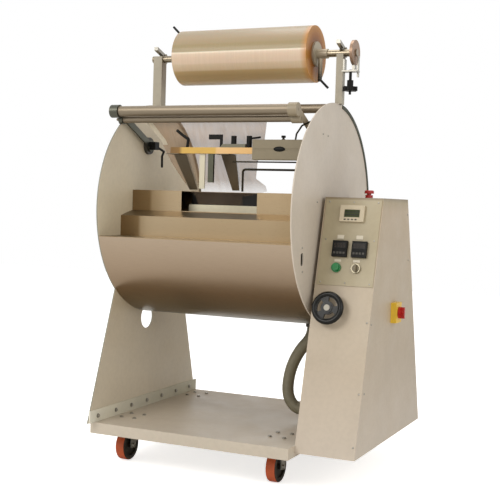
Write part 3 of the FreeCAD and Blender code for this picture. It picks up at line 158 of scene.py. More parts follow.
class Nodes:
    """A material's node tree with short calls for the nodes used here."""

    def __init__(self, name):
        self.material = bpy.data.materials.new(name)
        self.material.use_nodes = True
        self.tree = self.material.node_tree
        self.shader = self.tree.nodes["Principled BSDF"]
        self.coordinates = self.tree.nodes.new("ShaderNodeTexCoord")

    def node(self, kind, **values):
        made = self.tree.nodes.new(kind)
        for key, value in values.items():
            setattr(made, key, value)
        return made

    def link(self, output, target):
        self.tree.links.new(output, target)

    def fill(self, target, value):
        """Set an input to a value, or link another node's output to it."""
        if isinstance(value, (int, float, tuple)):
            target.default_value = value
        else:
            self.link(value, target)

    def along(self, axis):
        """A point's place along one axis of its object, in metres."""
        split = self.node("ShaderNodeSeparateXYZ")
        self.link(self.coordinates.outputs["Object"], split.inputs["Vector"])
        return split.outputs[axis]

    def noise(self, scale, stretch=(1, 1, 1), detail=4.0, rough=0.55):
        """Noise in the object's own space, finer along the axes with more stretch."""
        mapping = self.node("ShaderNodeMapping")
        mapping.inputs["Scale"].default_value = stretch
        self.link(self.coordinates.outputs["Object"], mapping.inputs["Vector"])
        noise = self.node("ShaderNodeTexNoise")
        for key, number in (("Scale", scale), ("Detail", detail), ("Roughness", rough)):
            noise.inputs[key].default_value = number
        self.link(mapping.outputs["Vector"], noise.inputs["Vector"])
        return noise.outputs["Fac"]

    def spread(self, value, low, high, from_low=0.3, from_high=0.7):
        """Bring a value from one range into another, held at both ends."""
        spread = self.node("ShaderNodeMapRange")
        for key, number in (("From Min", from_low), ("From Max", from_high),
                            ("To Min", low), ("To Max", high)):
            spread.inputs[key].default_value = number
        self.link(value, spread.inputs["Value"])
        return spread.outputs["Result"]

    def ramp(self, value, stops):
        """Colour for a value from 0 to 1, between stops of (value, colour)."""
        ramp = self.node("ShaderNodeValToRGB")
        elements = ramp.color_ramp.elements
        while len(elements) < len(stops):
            elements.new(0.5)
        for element, (place, color) in zip(elements, stops):
            element.position = place
            element.color = color
        self.link(value, ramp.inputs["Fac"])
        return ramp.outputs["Color"]

    def mix(self, factor, one, two, blend="MIX"):
        mix = self.node("ShaderNodeMix", data_type="RGBA", blend_type=blend)
        for key, value in (("Factor", factor), ("A", one), ("B", two)):
            self.fill(mix.inputs[key], value)
        return mix.outputs["Result"]

    def math(self, operation, *values):
        made = self.node("ShaderNodeMath", operation=operation)
        for target, value in zip(made.inputs, values):
            self.fill(target, value)
        return made.outputs["Value"]

    def graded(self, color, painted_shading):
        """Multiply a colour by painted light and shade: (axis, start and end in metres, stops).
        """
        if not painted_shading:
            return color
        axis, start, end, stops = painted_shading
        share = self.spread(self.along(axis), 0, 1, start, end)
        return self.mix(1.0, color, self.ramp(share, stops), "MULTIPLY")

    def surface(self, color, roughness):
        self.link(color, self.shader.inputs["Base Color"])
        self.link(roughness, self.shader.inputs["Roughness"])

    def bump(self, value, strength, distance):
        bump = self.node("ShaderNodeBump")
        bump.inputs["Strength"].default_value = strength
        bump.inputs["Distance"].default_value = distance
        self.link(value, bump.inputs["Height"])
        self.link(bump.outputs["Normal"], self.shader.inputs["Normal"])

    def set(self, **values):
        """Set inputs of the shader, with _ for a space in their names."""
        for key, value in values.items():
            self.shader.inputs[key.replace("_", " ")].default_value = value


# Depth of the finest relief, in metres
FINE_RELIEF = 0.0002


def paint(name, color, low=0.36, high=0.52, tone=0.93, painted_shading=None):
    """Powder coat: a faint cloudy tone, fine orange peel, roughness from low to high."""
    made = Nodes(name)
    cloud = made.spread(made.noise(3.5, detail=6), 0, 1)
    base = made.graded(made.mix(cloud, darker(color, tone), color), painted_shading)
    dust = made.spread(made.noise(60, detail=3), 0.96, 1.0, 0.35, 0.6)
    base = made.mix(1.0, base, dust, "MULTIPLY")
    made.surface(base, made.spread(made.noise(9), low, high))
    made.bump(made.noise(900, detail=2), 0.1, FINE_RELIEF)
    return made.material


def metal(name, color, low, high, stretch, tone=0.85, scale=30, painted_shading=None, metallic=1.0):
    """Brushed or ground metal: fine lines in colour, relief and roughness, low to high."""
    made = Nodes(name)
    lines = made.noise(scale, stretch, detail=5, rough=0.6)
    cloud = made.noise(2.5, detail=4)
    base = made.mix(made.spread(lines, 0, 1), darker(color, tone), color)
    base = made.mix(made.spread(cloud, 0.0, 0.18), base, darker(color, 0.85))
    made.surface(made.graded(base, painted_shading), made.spread(lines, low, high))
    made.bump(made.noise(scale * 4, stretch, detail=3), 0.06, FINE_RELIEF)
    made.set(Metallic=metallic)
    return made.material


def plastic(name, color, low=0.30, high=0.5, tone=0.8, grain=0.15, coat=0.0, sheen=0.3):
    """Moulded plastic or rubber with a fine grain, roughness from low to high."""
    made = Nodes(name)
    base = made.mix(made.spread(made.noise(40, detail=4), 0, 1), darker(color, tone), color)
    made.surface(base, made.spread(made.noise(25), low, high))
    made.bump(made.noise(1400, detail=2), grain, FINE_RELIEF)
    made.set(Coat_Weight=coat, Specular_IOR_Level=sheen)
    return made.material


# The roll's amber begins and is full this far right of its middle, its wound edge lies
# between two radii, and the film fades between two heights, all in metres.
AMBER_START = 0.285
AMBER_FULL = 0.312
CORE_EDGE = 0.045
ROLL_EDGE = 0.1185
FADE_FOOT = 1.13
FADE_TOP = 1.19
# Radians of the wound edge's rings for each metre of radius
RING_FREQUENCY = 2600.0


def from_roll_axis(made):
    """How far a point lies above and behind the roll's axis, in metres."""
    return (made.math("SUBTRACT", made.along("Z"), ROLL_Z / 1000),
            made.math("SUBTRACT", made.along("Y"), at(0, ROLL_Y, 0).y))


def wound_film():
    """Clear film wound on a roll: painted bands of light and shade along it, amber at its right
    end.
    """
    made = Nodes("wound_film")
    turn = made.spread(made.math("ARCTAN2", *from_roll_axis(made)), 0, 1, -math.pi, math.pi)
    tan = rgb(180, 160, 128)
    cream = rgb(226, 201, 176)
    pale = rgb(204, 186, 154)
    # The ramp round the roll is painted light: highlight bands, a pale middle and a darker
    # underside, all turning with the roll.
    painted_light_bands = made.ramp(turn, [
        (0.0, cream), (0.054, cream), (0.060, rgb(218, 194, 164)), (0.095, rgb(216, 191, 158)),
        (0.104, rgb(190, 161, 114)), (0.135, rgb(190, 162, 116)), (0.175, rgb(216, 187, 138)),
        (0.20, rgb(240, 214, 176)),
        (0.26, pale), (0.42, pale), (0.60, tan), (0.80, rgb(160, 143, 114)),
        (0.86, rgb(158, 142, 118)), (0.90, rgb(168, 148, 121)), (0.935, rgb(166, 147, 116)),
        (0.945, rgb(160, 142, 104)), (0.985, rgb(152, 134, 94)), (0.990, rgb(246, 232, 208)),
        (0.998, cream), (1.0, cream)])
    from_middle = made.math("SUBTRACT", made.along("X"), at_x(ROLL_X))
    amber = made.spread(from_middle, 0, 1, AMBER_START, AMBER_FULL)
    windings = made.noise(6, (60, 1, 1), detail=3)
    base = made.mix(made.spread(windings, 0.0, 0.2), painted_light_bands, tan)
    base = made.mix(made.math("MULTIPLY", amber, 0.8), base, rgb(196, 134, 58))
    made.surface(base, made.spread(windings, 0.3, 0.42))
    made.set(Coat_Weight=0.12, Coat_Roughness=0.15, Specular_IOR_Level=0.35,
             Subsurface_Weight=0.12, Subsurface_Scale=0.02)
    made.bump(made.noise(30, (12, 1, 1), detail=2), 0.08, 0.001)
    return made.material


def roll_end():
    """The wound edge: fine rings round the core, dark amber."""
    made = Nodes("roll_end")
    squares = [made.math("MULTIPLY", part, part) for part in from_roll_axis(made)]
    reach = made.math("SQRT", made.math("ADD", *squares))
    rings = made.math("SINE", made.math("MULTIPLY", reach, RING_FREQUENCY))
    base = made.ramp(made.spread(reach, 0, 1, CORE_EDGE, ROLL_EDGE), [
        (0.0, rgb(104, 60, 16)), (0.5, rgb(158, 98, 28)), (1.0, rgb(196, 140, 66))])
    base = made.mix(made.spread(rings, 0.0, 0.3, -1, 1), base, rgb(128, 74, 20))
    made.surface(base, made.spread(rings, 0.24, 0.4, -1, 1))
    made.bump(rings, 0.1, 0.0003)
    made.set(Specular_IOR_Level=0.2)
    return made.material


def clear_film(name, color, alpha):
    """Thin clear film with lengthwise creases in its relief, and painted streaks of light and
    shade along them.
    """
    made = Nodes(name)
    crease = made.noise(18, (3.0, 1, 0.25), detail=5, rough=0.6)
    base = made.mix(made.spread(crease, 0, 1), darker(color, 0.86), color)
    made.surface(base, made.spread(made.noise(30, (3, 1, 0.3)), 0.24, 0.4))
    seen = made.spread(crease, alpha * 0.92, min(1.0, alpha * 1.1))
    faded = made.spread(made.along("Z"), 0.3, 1.0, FADE_FOOT, FADE_TOP)
    made.link(made.math("MULTIPLY", seen, faded), made.shader.inputs["Alpha"])
    made.bump(made.noise(24, (4.0, 1, 0.25), detail=4), 0.35, 0.003)
    made.set(Coat_Weight=0.15)
    return made.material


def glass_face(name, color, glow=0.0):
    """Dull glass over a display, with a glow of its own where it is lit."""
    made = Nodes(name)
    base = made.mix(made.spread(made.noise(90), 0, 1), darker(color, 0.8), color)
    made.surface(base, made.spread(made.noise(12), 0.3, 0.42))
    made.set(Specular_IOR_Level=0.15, Emission_Color=color, Emission_Strength=glow)
    return made.material


# Each painted shading ramp below puts painted light and shade into a colour: it runs along
# one axis between two places in metres in the part's frame, and its stops multiply the colour.
WHITE = rgb(255, 255, 255)
# Painted shade on the console: lighter towards the floor, darker higher up, and a darker band
# along the top edge.
PAINT_CONSOLE = paint("console_paint_painted_shade", rgb(214, 202, 186), painted_shading=(
    "Z", 0.1, 1.13, [(0.0, rgb(242, 240, 238)), (0.35, rgb(226, 220, 210)),
                     (0.56, rgb(226, 220, 208)), (0.7, rgb(226, 219, 205)),
                     (0.95, rgb(222, 211, 192)), (0.985, rgb(206, 197, 170)),
                     (1.0, rgb(166, 158, 138))]))
# Painted shadow of the drum on the base: darker towards the rear.
PAINT_BASE = paint("base_paint_painted_shadow", rgb(204, 192, 174), painted_shading=(
    "Y", -0.44, 0.44, [(0.0, WHITE), (0.45, rgb(250, 248, 244)),
                       (1.0, rgb(214, 206, 194))]))
# Painted shade on the foot bar: white at its front end, darker towards the rear.
PAINT_BAR = paint("foot_bar_paint_painted_shade", rgb(238, 234, 218), painted_shading=(
    "Y", -0.49, 0.45, [(0.0, WHITE), (0.16, rgb(254, 253, 248)),
                       (0.4, rgb(222, 221, 215)), (1.0, rgb(216, 214, 202))]))
# Painted shade: a darker tone of the cheek's paint for its thin edge faces.
CHEEK_EDGE_PAINTED_SHADE = paint("cheek_edge_painted_shade", rgb(138, 136, 120))
PAINT_POST = paint("post_paint", rgb(172, 163, 143))
PAINT_HEAD = paint("arm_head_paint", rgb(152, 138, 114))
PAINT_CHEEK = paint("cheek_paint", rgb(208, 196, 180))
# Painted shade on the left cheek: a darker band about a third of the way up, lighter above it.
PAINT_LEFT = paint("left_cheek_paint_painted_shade", rgb(226, 216, 198), painted_shading=(
    "Z", 0.17, 1.55, [(0.0, rgb(248, 246, 240)), (0.35, rgb(230, 223, 208)),
                      (0.62, rgb(255, 252, 240)), (1.0, rgb(255, 252, 244))]))
# Painted shade on the drum: darkest at the bottom and lighter towards the top.
DRUM_STEEL_PAINTED_SHADE = metal("drum_steel_painted_shade", rgb(196, 182, 166), 0.26, 0.38, (1, 70, 70), painted_shading=(
    "Z", 0.601, 0.944, [(0.0, rgb(156, 152, 140)), (0.035, rgb(160, 158, 146)),
                        (0.15, rgb(196, 190, 174)), (0.36, rgb(202, 186, 166)),
                        (0.62, rgb(226, 214, 200)), (1.0, rgb(240, 232, 222))]))
# Painted reflection and shade on the steps: the dark zone at the left end is the left cheek's
# painted reflection, and the right end is a little darker with painted shade.
STEP_STEEL_PAINTED_REFLECTION = metal("step_steel_painted_reflection", rgb(180, 160, 130), 0.26, 0.36, (1, 90, 90), tone=0.94,
                   painted_shading=("X", at_x(-CHEEK_INNER), at_x(CHEEK_INNER), [
                       (0.0, rgb(206, 196, 180)), (0.1, rgb(206, 196, 180)),
                       (0.116, WHITE), (0.5, rgb(246, 242, 236)),
                       (0.8, rgb(244, 240, 234)), (1.0, rgb(226, 218, 204))]))
# Painted shade: a darker copy of the step steel for the steps' top faces.
STEP_TOP_PAINTED_SHADE = metal("step_top_painted_shade", rgb(130, 115, 90), 0.36, 0.5, (1, 90, 90), tone=0.94)
JAW_PAINT = paint("jaw_paint", rgb(246, 236, 206))
DARK_JAW = plastic("dark_jaw", rgb(20, 17, 13), 0.4, 0.6)
GROUND_STEEL = metal("ground_steel", rgb(150, 138, 118), 0.22, 0.38, (60, 60, 1), scale=24)
ZINC = metal("zinc_plate", rgb(168, 164, 154), 0.3, 0.45, (3, 3, 3), scale=16)
ROLLER_STEEL = metal("roller_steel", rgb(142, 129, 110), 0.4, 0.52, (1, 60, 60), scale=24,
                     metallic=0.7)
ARM_STEEL = metal("arm_steel", rgb(98, 98, 88), 0.34, 0.48, (20, 1, 1), scale=24)
BLACK = plastic("black_plastic", rgb(20, 19, 16), 0.4, 0.55, sheen=0.15)
GLOSS_BLACK = plastic("gloss_black", rgb(14, 13, 8), 0.2, 0.3, grain=0.04, sheen=0.25)
DARK_GREY = plastic("dark_grey_plastic", rgb(70, 66, 58))
EDGING = plastic("edging_rubber", rgb(60, 62, 46), 0.45, 0.65)
PANEL_PAINT = paint("panel_paint", rgb(175, 162, 132))
BEZEL = plastic("bezel_plastic", rgb(198, 184, 156), 0.3, 0.45, tone=0.94)
LABEL = plastic("label_plate", rgb(212, 202, 180), 0.25, 0.4, tone=0.95)
CORE_BOARD = paint("core_board", rgb(148, 100, 52), 0.6, 0.8, tone=0.8)
GREEN = plastic("green_lens", rgb(22, 122, 60), 0.25, 0.38)
RED = plastic("red_plastic", rgb(186, 30, 22), 0.2, 0.3, coat=0.4)
YELLOW = plastic("yellow_plastic", rgb(236, 194, 64), 0.28, 0.4, tone=0.9)
# Brass colour with painted light and shade along the bar: darker at the left end and paler on
# the right half.
BRASS = metal("brass_bar", rgb(246, 242, 234), 0.38, 0.5, (1, 40, 40), scale=24, painted_shading=(
    "X", at_x(-188), at_x(185), [
        (0.0, rgb(124, 96, 60)), (0.11, rgb(138, 106, 62)), (0.15, rgb(206, 170, 92)),
        (0.55, rgb(206, 170, 92)), (0.57, rgb(222, 186, 134)), (1.0, rgb(214, 174, 118))]),
    metallic=0.6)
FORMING = metal("forming_steel", rgb(112, 102, 86), 0.34, 0.48, (30, 1, 1), scale=24,
                metallic=0.75)
STRIP = metal("pale_strip", rgb(204, 196, 172), 0.4, 0.52, (20, 20, 1), scale=24, metallic=0.4)
GAUGE = metal("gauge_bar", rgb(92, 92, 78), 0.25, 0.4, (20, 20, 1), scale=24)
BEAM = paint("beam_paint", rgb(135, 123, 98), 0.4, 0.55)
BLOCK = paint("block_paint", rgb(112, 108, 88), 0.36, 0.5)
DARK_ROD = metal("dark_rod", rgb(52, 48, 38), 0.25, 0.4, (1, 40, 40), scale=24)
TREAD = plastic("wheel_tread", rgb(196, 92, 52), 0.4, 0.6)
WHEEL_CORE = plastic("wheel_core", rgb(46, 40, 30), 0.35, 0.5)
HOSE = plastic("hose_skin", rgb(132, 126, 106), 0.4, 0.6, tone=0.85)
FILM = clear_film("clear_film", rgb(168, 138, 108), 0.68)
FILM_FOLD = clear_film("film_fold", rgb(214, 202, 178), 0.85)
SCREEN = glass_face("screen_glass", rgb(50, 60, 16))
READOUT = glass_face("readout_glass", rgb(20, 18, 15))
READOUT_LIT = glass_face("readout_lit", rgb(74, 60, 46), 0.05)
CHROME = metal("polished_ring", rgb(150, 142, 122), 0.34, 0.44, (1, 1, 1), scale=12)
SELECTOR = plastic("selector_plastic", rgb(124, 112, 88))
CHUCK = metal("chuck_metal", rgb(176, 164, 142), 0.4, 0.52, (3, 3, 3), scale=16, metallic=0.5)
BRAKE = metal("brake_disc", rgb(160, 132, 110), 0.36, 0.48, (3, 3, 3), scale=16, metallic=0.7)
CAP = plastic("wheel_cap", rgb(176, 170, 156), 0.3, 0.45, tone=0.92)
WOUND_FILM = wound_film()
ROLL_END = roll_end()

NODE_LOOKS = {
    "base_platform": PAINT_BASE, "castor_plates": ZINC, "left_cheek": PAINT_LEFT,
    "right_cheek": PAINT_CHEEK, "left_foot_bar": PAINT_BAR, "rim_trims": EDGING,
    "drum_shell": DRUM_STEEL_PAINTED_SHADE, "lower_step": STEP_STEEL_PAINTED_REFLECTION, "upper_step": STEP_STEEL_PAINTED_REFLECTION,
    "rear_steps": STEP_STEEL_PAINTED_REFLECTION, "front_jaw": JAW_PAINT, "rear_jaw": DARK_JAW,
    "jaw_rails": GROUND_STEEL, "tie_bar": ROLLER_STEEL, "roll_posts": PAINT_POST,
    "roll_shaft": GROUND_STEEL, "film_roll": WOUND_FILM, "roll_core": CORE_BOARD,
    "roll_chucks": CHUCK, "brake_disc": BRAKE, "brake_bracket": ZINC, "star_knob": BLACK,
    "left_latch": ZINC, "right_latch": ZINC, "roller_arms": ARM_STEEL, "arm_clamps": DARK_GREY,
    "upper_roller": ROLLER_STEEL, "lower_roller": ROLLER_STEEL, "console_cabinet": PAINT_CONSOLE,
    "console_spacers": GROUND_STEEL, "control_panel": PANEL_PAINT, "display_unit": BEZEL,
    "temperature_controllers": BLACK, "button_collars": CHROME, "start_button": GREEN,
    "selector_knob": SELECTOR, "handwheel_spindle": GROUND_STEEL, "handwheel": GLOSS_BLACK,
    "emergency_stop": RED, "main_switch_plate": YELLOW, "main_switch_knob": RED,
    "collar_bar": BRASS, "forming_plates": FORMING, "guide_strips": STRIP,
    "carriage_beam": BEAM, "clamp_knobs": BLACK, "guide_rods": DARK_ROD, "film_web": FILM,
    "conduit_glands": DARK_GREY, "service_conduit": HOSE,
}
# Middle of each castor's plate in millimetres
CASTORS = {
    "front_left": (-350.0, -262.0), "front_right": (335.0, -262.0),
    "rear_left": (-350.0, 325.0), "rear_right": (335.0, 325.0)}
WHEEL_TRAIL = 42.0
WHEEL_R = 62.5
WHEEL_CORE_R = 47.0
for castor in CASTORS:
    NODE_LOOKS[castor + "_castor_fork"] = ZINC
    NODE_LOOKS[castor + "_castor_wheel"] = TREAD


EDGE_BEVEL = 0.0006
EDGE_ANGLE = math.radians(50)


def dress_nodes():
    """Give each CAD node its material and thin bevels along its sharp edges."""
    for name, node in NODES.items():
        node.data.materials.clear()
        node.data.materials.append(NODE_LOOKS[name])
        bevel = node.modifiers.new("edges", "BEVEL")
        bevel.width = EDGE_BEVEL
        bevel.segments = 2
        bevel.limit_method = "ANGLE"
        bevel.angle_limit = EDGE_ANGLE
        bevel.use_clamp_overlap = True


def paint_faces(name, second, wanted):
    """Put a second material on the faces whose centre and normal pass a test."""
    mesh = NODES[name].data
    mesh.materials.append(second)
    for face in mesh.polygons:
        if wanted(face.center, face.normal):
            face.material_index = len(mesh.materials) - 1


# Where second materials begin and end: places in the part's frame and radii in metres,
# and least or largest parts of a face's normal
FACING = 0.9
ACROSS = 0.3
WHEEL_SIDE = 0.8
ROLL_AXIS = at(0, ROLL_Y, ROLL_Z)
CHUCK_HUB_R = 0.068
GAUGE_LEFT = at_x(-24)
CLAMPS_LEFT, CLAMPS_RIGHT = at_x(-408), at_x(384)
BLOCK_LEFT, BLOCK_RIGHT, BLOCK_TOP = at_x(30), at_x(152), 1.3315
START_CENTRE = on_front(82.0, -286.0)
START_RING_R = 0.028
STOP_FOOT = at(0, 0, CONSOLE_TOP).z
WHEEL_CENTRE = on_front(77.0, -452.0)
CAP_LIFT = 0.0424
CAP_R = 0.0125


def on_cap(centre, normal):
    """Test for the cap in the middle of the handwheel."""
    reach = centre - WHEEL_CENTRE
    return reach.dot(FRONT_OUT) > CAP_LIFT and reach.cross(FRONT_OUT).length < CAP_R


def in_wheel(hub):
    """Test for the sides and the core of the castor wheel on a hub."""
    def test(centre, normal):
        reach = math.hypot(centre.y - hub.y, centre.z - hub.z)
        return abs(normal.x) > WHEEL_SIDE or reach < WHEEL_CORE_R / 1000
    return test


dress_nodes()
paint_faces("film_roll", ROLL_END, lambda centre, normal: abs(normal.x) > FACING)
paint_faces("guide_strips", GAUGE, lambda centre, normal: centre.x > GAUGE_LEFT)
# The steps' top faces take the darker copy of their steel, a painted shade.
for step in ("lower_step", "upper_step"):
    paint_faces(step, STEP_TOP_PAINTED_SHADE, lambda centre, normal: normal.z > FACING)
paint_faces("roller_arms", PAINT_HEAD, lambda centre, normal: centre.x > 0)
# The left cheek's thin edge faces get painted shade, a darker tone of its paint.
paint_faces("left_cheek", CHEEK_EDGE_PAINTED_SHADE, lambda centre, normal: abs(normal.x) < ACROSS)
paint_faces("roll_chucks", BLACK, lambda centre, normal: math.hypot(
    centre.y - ROLL_AXIS.y, centre.z - ROLL_AXIS.z) > CHUCK_HUB_R)
paint_faces("arm_clamps", BLACK, lambda centre, normal: CLAMPS_LEFT < centre.x < CLAMPS_RIGHT)
paint_faces("clamp_knobs", BLOCK, lambda centre, normal:
            BLOCK_LEFT < centre.x < BLOCK_RIGHT and centre.z < BLOCK_TOP)
paint_faces("button_collars", GREEN, lambda centre, normal:
            (centre - START_CENTRE).length < START_RING_R)
paint_faces("button_collars", RED, lambda centre, normal: centre.z > STOP_FOOT)
paint_faces("handwheel", CAP, on_cap)
for castor, (castor_x, castor_y) in CASTORS.items():
    paint_faces(castor + "_castor_wheel", WHEEL_CORE,
                in_wheel(at(castor_x, castor_y - WHEEL_TRAIL, WHEEL_R)))


# Small pieces in mesh code
TINY = 1e-6
# A hexagon's width over its corners for its width over its flats
HEX_CORNERS = 1.1547
# A button head with its socket, in shares of its radius and of its height
BUTTON_HEAD = [(1.0, 0.0), (1.0, 0.3), (0.86, 0.75), (0.55, 1.0), (0.42, 1.0), (0.40, 0.35),
               (0.0, 0.3)]
# Where a hexagon head's edge begins, in shares of its height, and the washer's radius,
# in shares of the head's width
HEAD_EDGE = 0.85
WASHER_SHARE = 0.72
WASHER_T = 1.2


def finish_mesh(work, name, material, body, sharp=40.0):
    """Turn a bmesh into a piece on a body, with creases from the sharp angle up."""
    bmesh.ops.recalc_face_normals(work, faces=work.faces)
    mesh = bpy.data.meshes.new(name)
    work.to_mesh(mesh)
    work.free()
    mesh.materials.append(material)
    piece = placed(name, mesh)
    mesh.shade_smooth()
    mesh.set_sharp_from_angle(angle=math.radians(sharp))
    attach(piece, body)
    return piece


def turned(work, matrix, profile, sides=24):
    """Revolve a profile of (radius, height) in millimetres about the matrix's z axis."""
    rings = []
    for radius, height in profile:
        if radius < TINY:
            rings.append([work.verts.new(matrix @ Vector((0, 0, height / 1000)))])
            continue
        ring = []
        for index in range(sides):
            angle = 2 * math.pi * index / sides
            ring.append(work.verts.new(matrix @ Vector((
                radius * math.cos(angle) / 1000, radius * math.sin(angle) / 1000,
                height / 1000))))
        rings.append(ring)
    for low, high in zip(rings, rings[1:]):
        for index in range(sides):
            follow = (index + 1) % sides
            corners = []
            for vertex in (low[index % len(low)], low[follow % len(low)],
                           high[follow % len(high)], high[index % len(high)]):
                if vertex not in corners:
                    corners.append(vertex)
            if len(corners) > 2:
                work.faces.new(corners)
    for ring in (rings[0], rings[-1]):
        if len(ring) > 1:
            work.faces.new(ring)


def join_rings(work, rings):
    """Faces between rings of equal count, and one face over each end."""
    for one, two in zip(rings, rings[1:]):
        for index in range(len(one)):
            follow = (index + 1) % len(one)
            work.faces.new([one[index], one[follow], two[follow], two[index]])
    work.faces.new(rings[0])
    work.faces.new(rings[-1])


def rounded_plate(work, matrix, width, height, low, high, radius=2.0, edge=0.6, steps=4):
    """Plate with rounded corners and a small chamfer round its top, in millimetres."""
    def outline(inset, level):
        ring = []
        for quarter, (sx, sy) in enumerate(((1, 1), (-1, 1), (-1, -1), (1, -1))):
            for step in range(steps + 1):
                angle = math.pi / 2 * (quarter + step / steps)
                x = sx * (width / 2 - radius) + (radius - inset) * math.cos(angle)
                y = sy * (height / 2 - radius) + (radius - inset) * math.sin(angle)
                ring.append(work.verts.new(matrix @ Vector((x / 1000, y / 1000, level / 1000))))
        return ring
    join_rings(work, [outline(0, low), outline(0, high - edge), outline(edge, high)])


def socket_screw(work, place, normal, radius=4.0, height=2.4):
    """Button head with a round socket."""
    helper = X_AXIS if abs(normal.x) < FACING else Z_AXIS
    turned(work, axes(place, helper, normal),
           [(radius * out, height * up) for out, up in BUTTON_HEAD], sides=18)


def hexagon_bolt(work, place, normal, across=13.0, height=5.0):
    """Hexagon head on a washer, with a small edge round its top."""
    helper = Z_AXIS if abs(normal.z) < FACING else X_AXIS
    matrix = axes(place, helper, normal)
    washer_r = across * WASHER_SHARE
    corner = across / 2 * HEX_CORNERS
    turned(work, matrix, [(washer_r, 0.0), (washer_r, WASHER_T)])
    turned(work, matrix @ Matrix.Translation((0, 0, WASHER_T / 1000)), [
        (corner, 0.0), (corner, height * HEAD_EDGE), (across / 2, height)], sides=6)


CHEEK_SCREWS = [(-153.0, 1380.0), (-95.0, 1376.0), (-195.0, 1108.0), (-340.0, 930.0),
                (-332.0, 837.0)]
FRONT_SCREWS_U = 231.0
FRONT_SCREWS_V = (-494.0, -767.0, -967.0)
PANEL_SCREWS = [(24.0, -173.0), (224.0, -173.0), (124.0, -20.0), (124.0, -345.0),
                (22.0, -20.0), (224.0, -20.0), (22.0, -345.0), (224.0, -345.0)]
PANEL_SCREW_R = 3.2
PANEL_SCREW_H = 2.0
SIDE_SCREWS = [(197.0, 1066.0), (233.0, 874.0), (-250.0, 644.0), (-307.0, 386.0)]


def machine_screws():
    """Screws on the cheek, the console and its panel."""
    work = bmesh.new()
    for y, z in CHEEK_SCREWS:
        socket_screw(work, at(CHEEK_OUTER, y, z), X_AXIS)
    for v in FRONT_SCREWS_V:
        socket_screw(work, on_front(FRONT_SCREWS_U, v), FRONT_OUT)
    for u, v in PANEL_SCREWS:
        socket_screw(work, on_front(u, v, PANEL_T), FRONT_OUT, PANEL_SCREW_R, PANEL_SCREW_H)
    for y, z in SIDE_SCREWS:
        socket_screw(work, at(CONSOLE_RIGHT, y, z), X_AXIS)
    finish_mesh(work, "machine_screws", ZINC, "frame")


FOOT_BAR_FACE = -419.0
FOOT_BAR_BOLT_Z = 199.0
FOOT_BAR_BOLTS_Y = (-428.0, -289.0, -162.0, -30.0, 104.0, 240.0, 375.0)
PLATE_BOLTS_X = (-31.0, 31.0)
PLATE_BOLTS_Y = (-41.0, 41.0)


def frame_bolts():
    """Bolts along the foot bar and through the base over each castor plate."""
    work = bmesh.new()
    for y in FOOT_BAR_BOLTS_Y:
        hexagon_bolt(work, at(FOOT_BAR_FACE, y, FOOT_BAR_BOLT_Z), X_AXIS)
    for x, y in CASTORS.values():
        for dx in PLATE_BOLTS_X:
            for dy in PLATE_BOLTS_Y:
                hexagon_bolt(work, at(x + dx, y + dy, BASE_TOP), Z_AXIS)
    finish_mesh(work, "frame_bolts", ZINC, "frame")


FORK_FACE = 29.0
AXLE_NUT_ACROSS = 17.0
AXLE_NUT_H = 7.0


def axle_nuts():
    """A nut on each end of each castor's axle, turning with its fork."""
    for name, (x, y) in CASTORS.items():
        work = bmesh.new()
        for side in (-1, 1):
            hexagon_bolt(work, at(x + side * FORK_FACE, y - WHEEL_TRAIL, WHEEL_R),
                         X_AXIS * side, AXLE_NUT_ACROSS, AXLE_NUT_H)
        finish_mesh(work, name + "_axle_nuts", ZINC, name + "_fork")


# Left, top, right and foot of each plate on the console's front
LABELS = [(72, -154, 99, -170), (150, -154, 177, -170), (71, -252, 98, -262),
          (148, -252, 176, -262)]
LABEL_T = 1.6


def panel_labels():
    """Blank plates over the controls."""
    work = bmesh.new()
    for left, top, right, foot in LABELS:
        rounded_plate(work, front_axes((left + right) / 2, (top + foot) / 2), right - left,
                      top - foot, PANEL_T, PANEL_T + LABEL_T, radius=1.5, edge=0.4)
    finish_mesh(work, "panel_labels", LABEL, "frame")


DISPLAY_FACE = PANEL_T + 12.0
SCREEN_U = 124.0
SCREEN_V = -68.0
SCREEN_SIZE = (63.0, 30.0)
SCREEN_FACE = DISPLAY_FACE - 2.4
SCREEN_BACK = DISPLAY_FACE - 4.0
MARKS_LEFT = SCREEN_U - 27.0
MARK_COLUMNS = 14
MARK_PITCH = 4.15
MARK_ROWS_V = (SCREEN_V + 6.0, SCREEN_V - 5.0)
MARK_W = 2.6
MARK_TALL = 5.2
MARK_SHORT = 3.4
MARK_T = 0.2
KEY_ROOT = 0.2
DISPLAY_KEYS = 4
DISPLAY_KEYS_V = SCREEN_V - 25.0
DISPLAY_KEY_PITCH = 15.0
DISPLAY_KEY_SIZE = (8.0, 5.0)
DISPLAY_KEY_H = 1.4


def display_details():
    """The display's screen, two rows of plain marks on it, and four keys under it."""
    work = bmesh.new()
    rounded_plate(work, front_axes(SCREEN_U, SCREEN_V), *SCREEN_SIZE, SCREEN_BACK, SCREEN_FACE,
                  radius=1.0, edge=0.3)
    finish_mesh(work, "display_screen", SCREEN, "frame")
    work = bmesh.new()
    for row, v in enumerate(MARK_ROWS_V):
        for column in range(MARK_COLUMNS):
            tall = MARK_TALL if (row * 3 + column) % 4 else MARK_SHORT
            rounded_plate(work, front_axes(MARKS_LEFT + column * MARK_PITCH, v), MARK_W, tall,
                          SCREEN_FACE, SCREEN_FACE + MARK_T, radius=0.4, edge=0.05, steps=1)
    finish_mesh(work, "display_segments", DARK_JAW, "frame")
    work = bmesh.new()
    for index in range(DISPLAY_KEYS):
        spot = front_axes(MARKS_LEFT + index * DISPLAY_KEY_PITCH, DISPLAY_KEYS_V)
        rounded_plate(work, spot, *DISPLAY_KEY_SIZE, DISPLAY_FACE - KEY_ROOT,
                      DISPLAY_FACE + DISPLAY_KEY_H, radius=1.2, edge=0.5)
    finish_mesh(work, "display_keys", DARK_GREY, "frame")


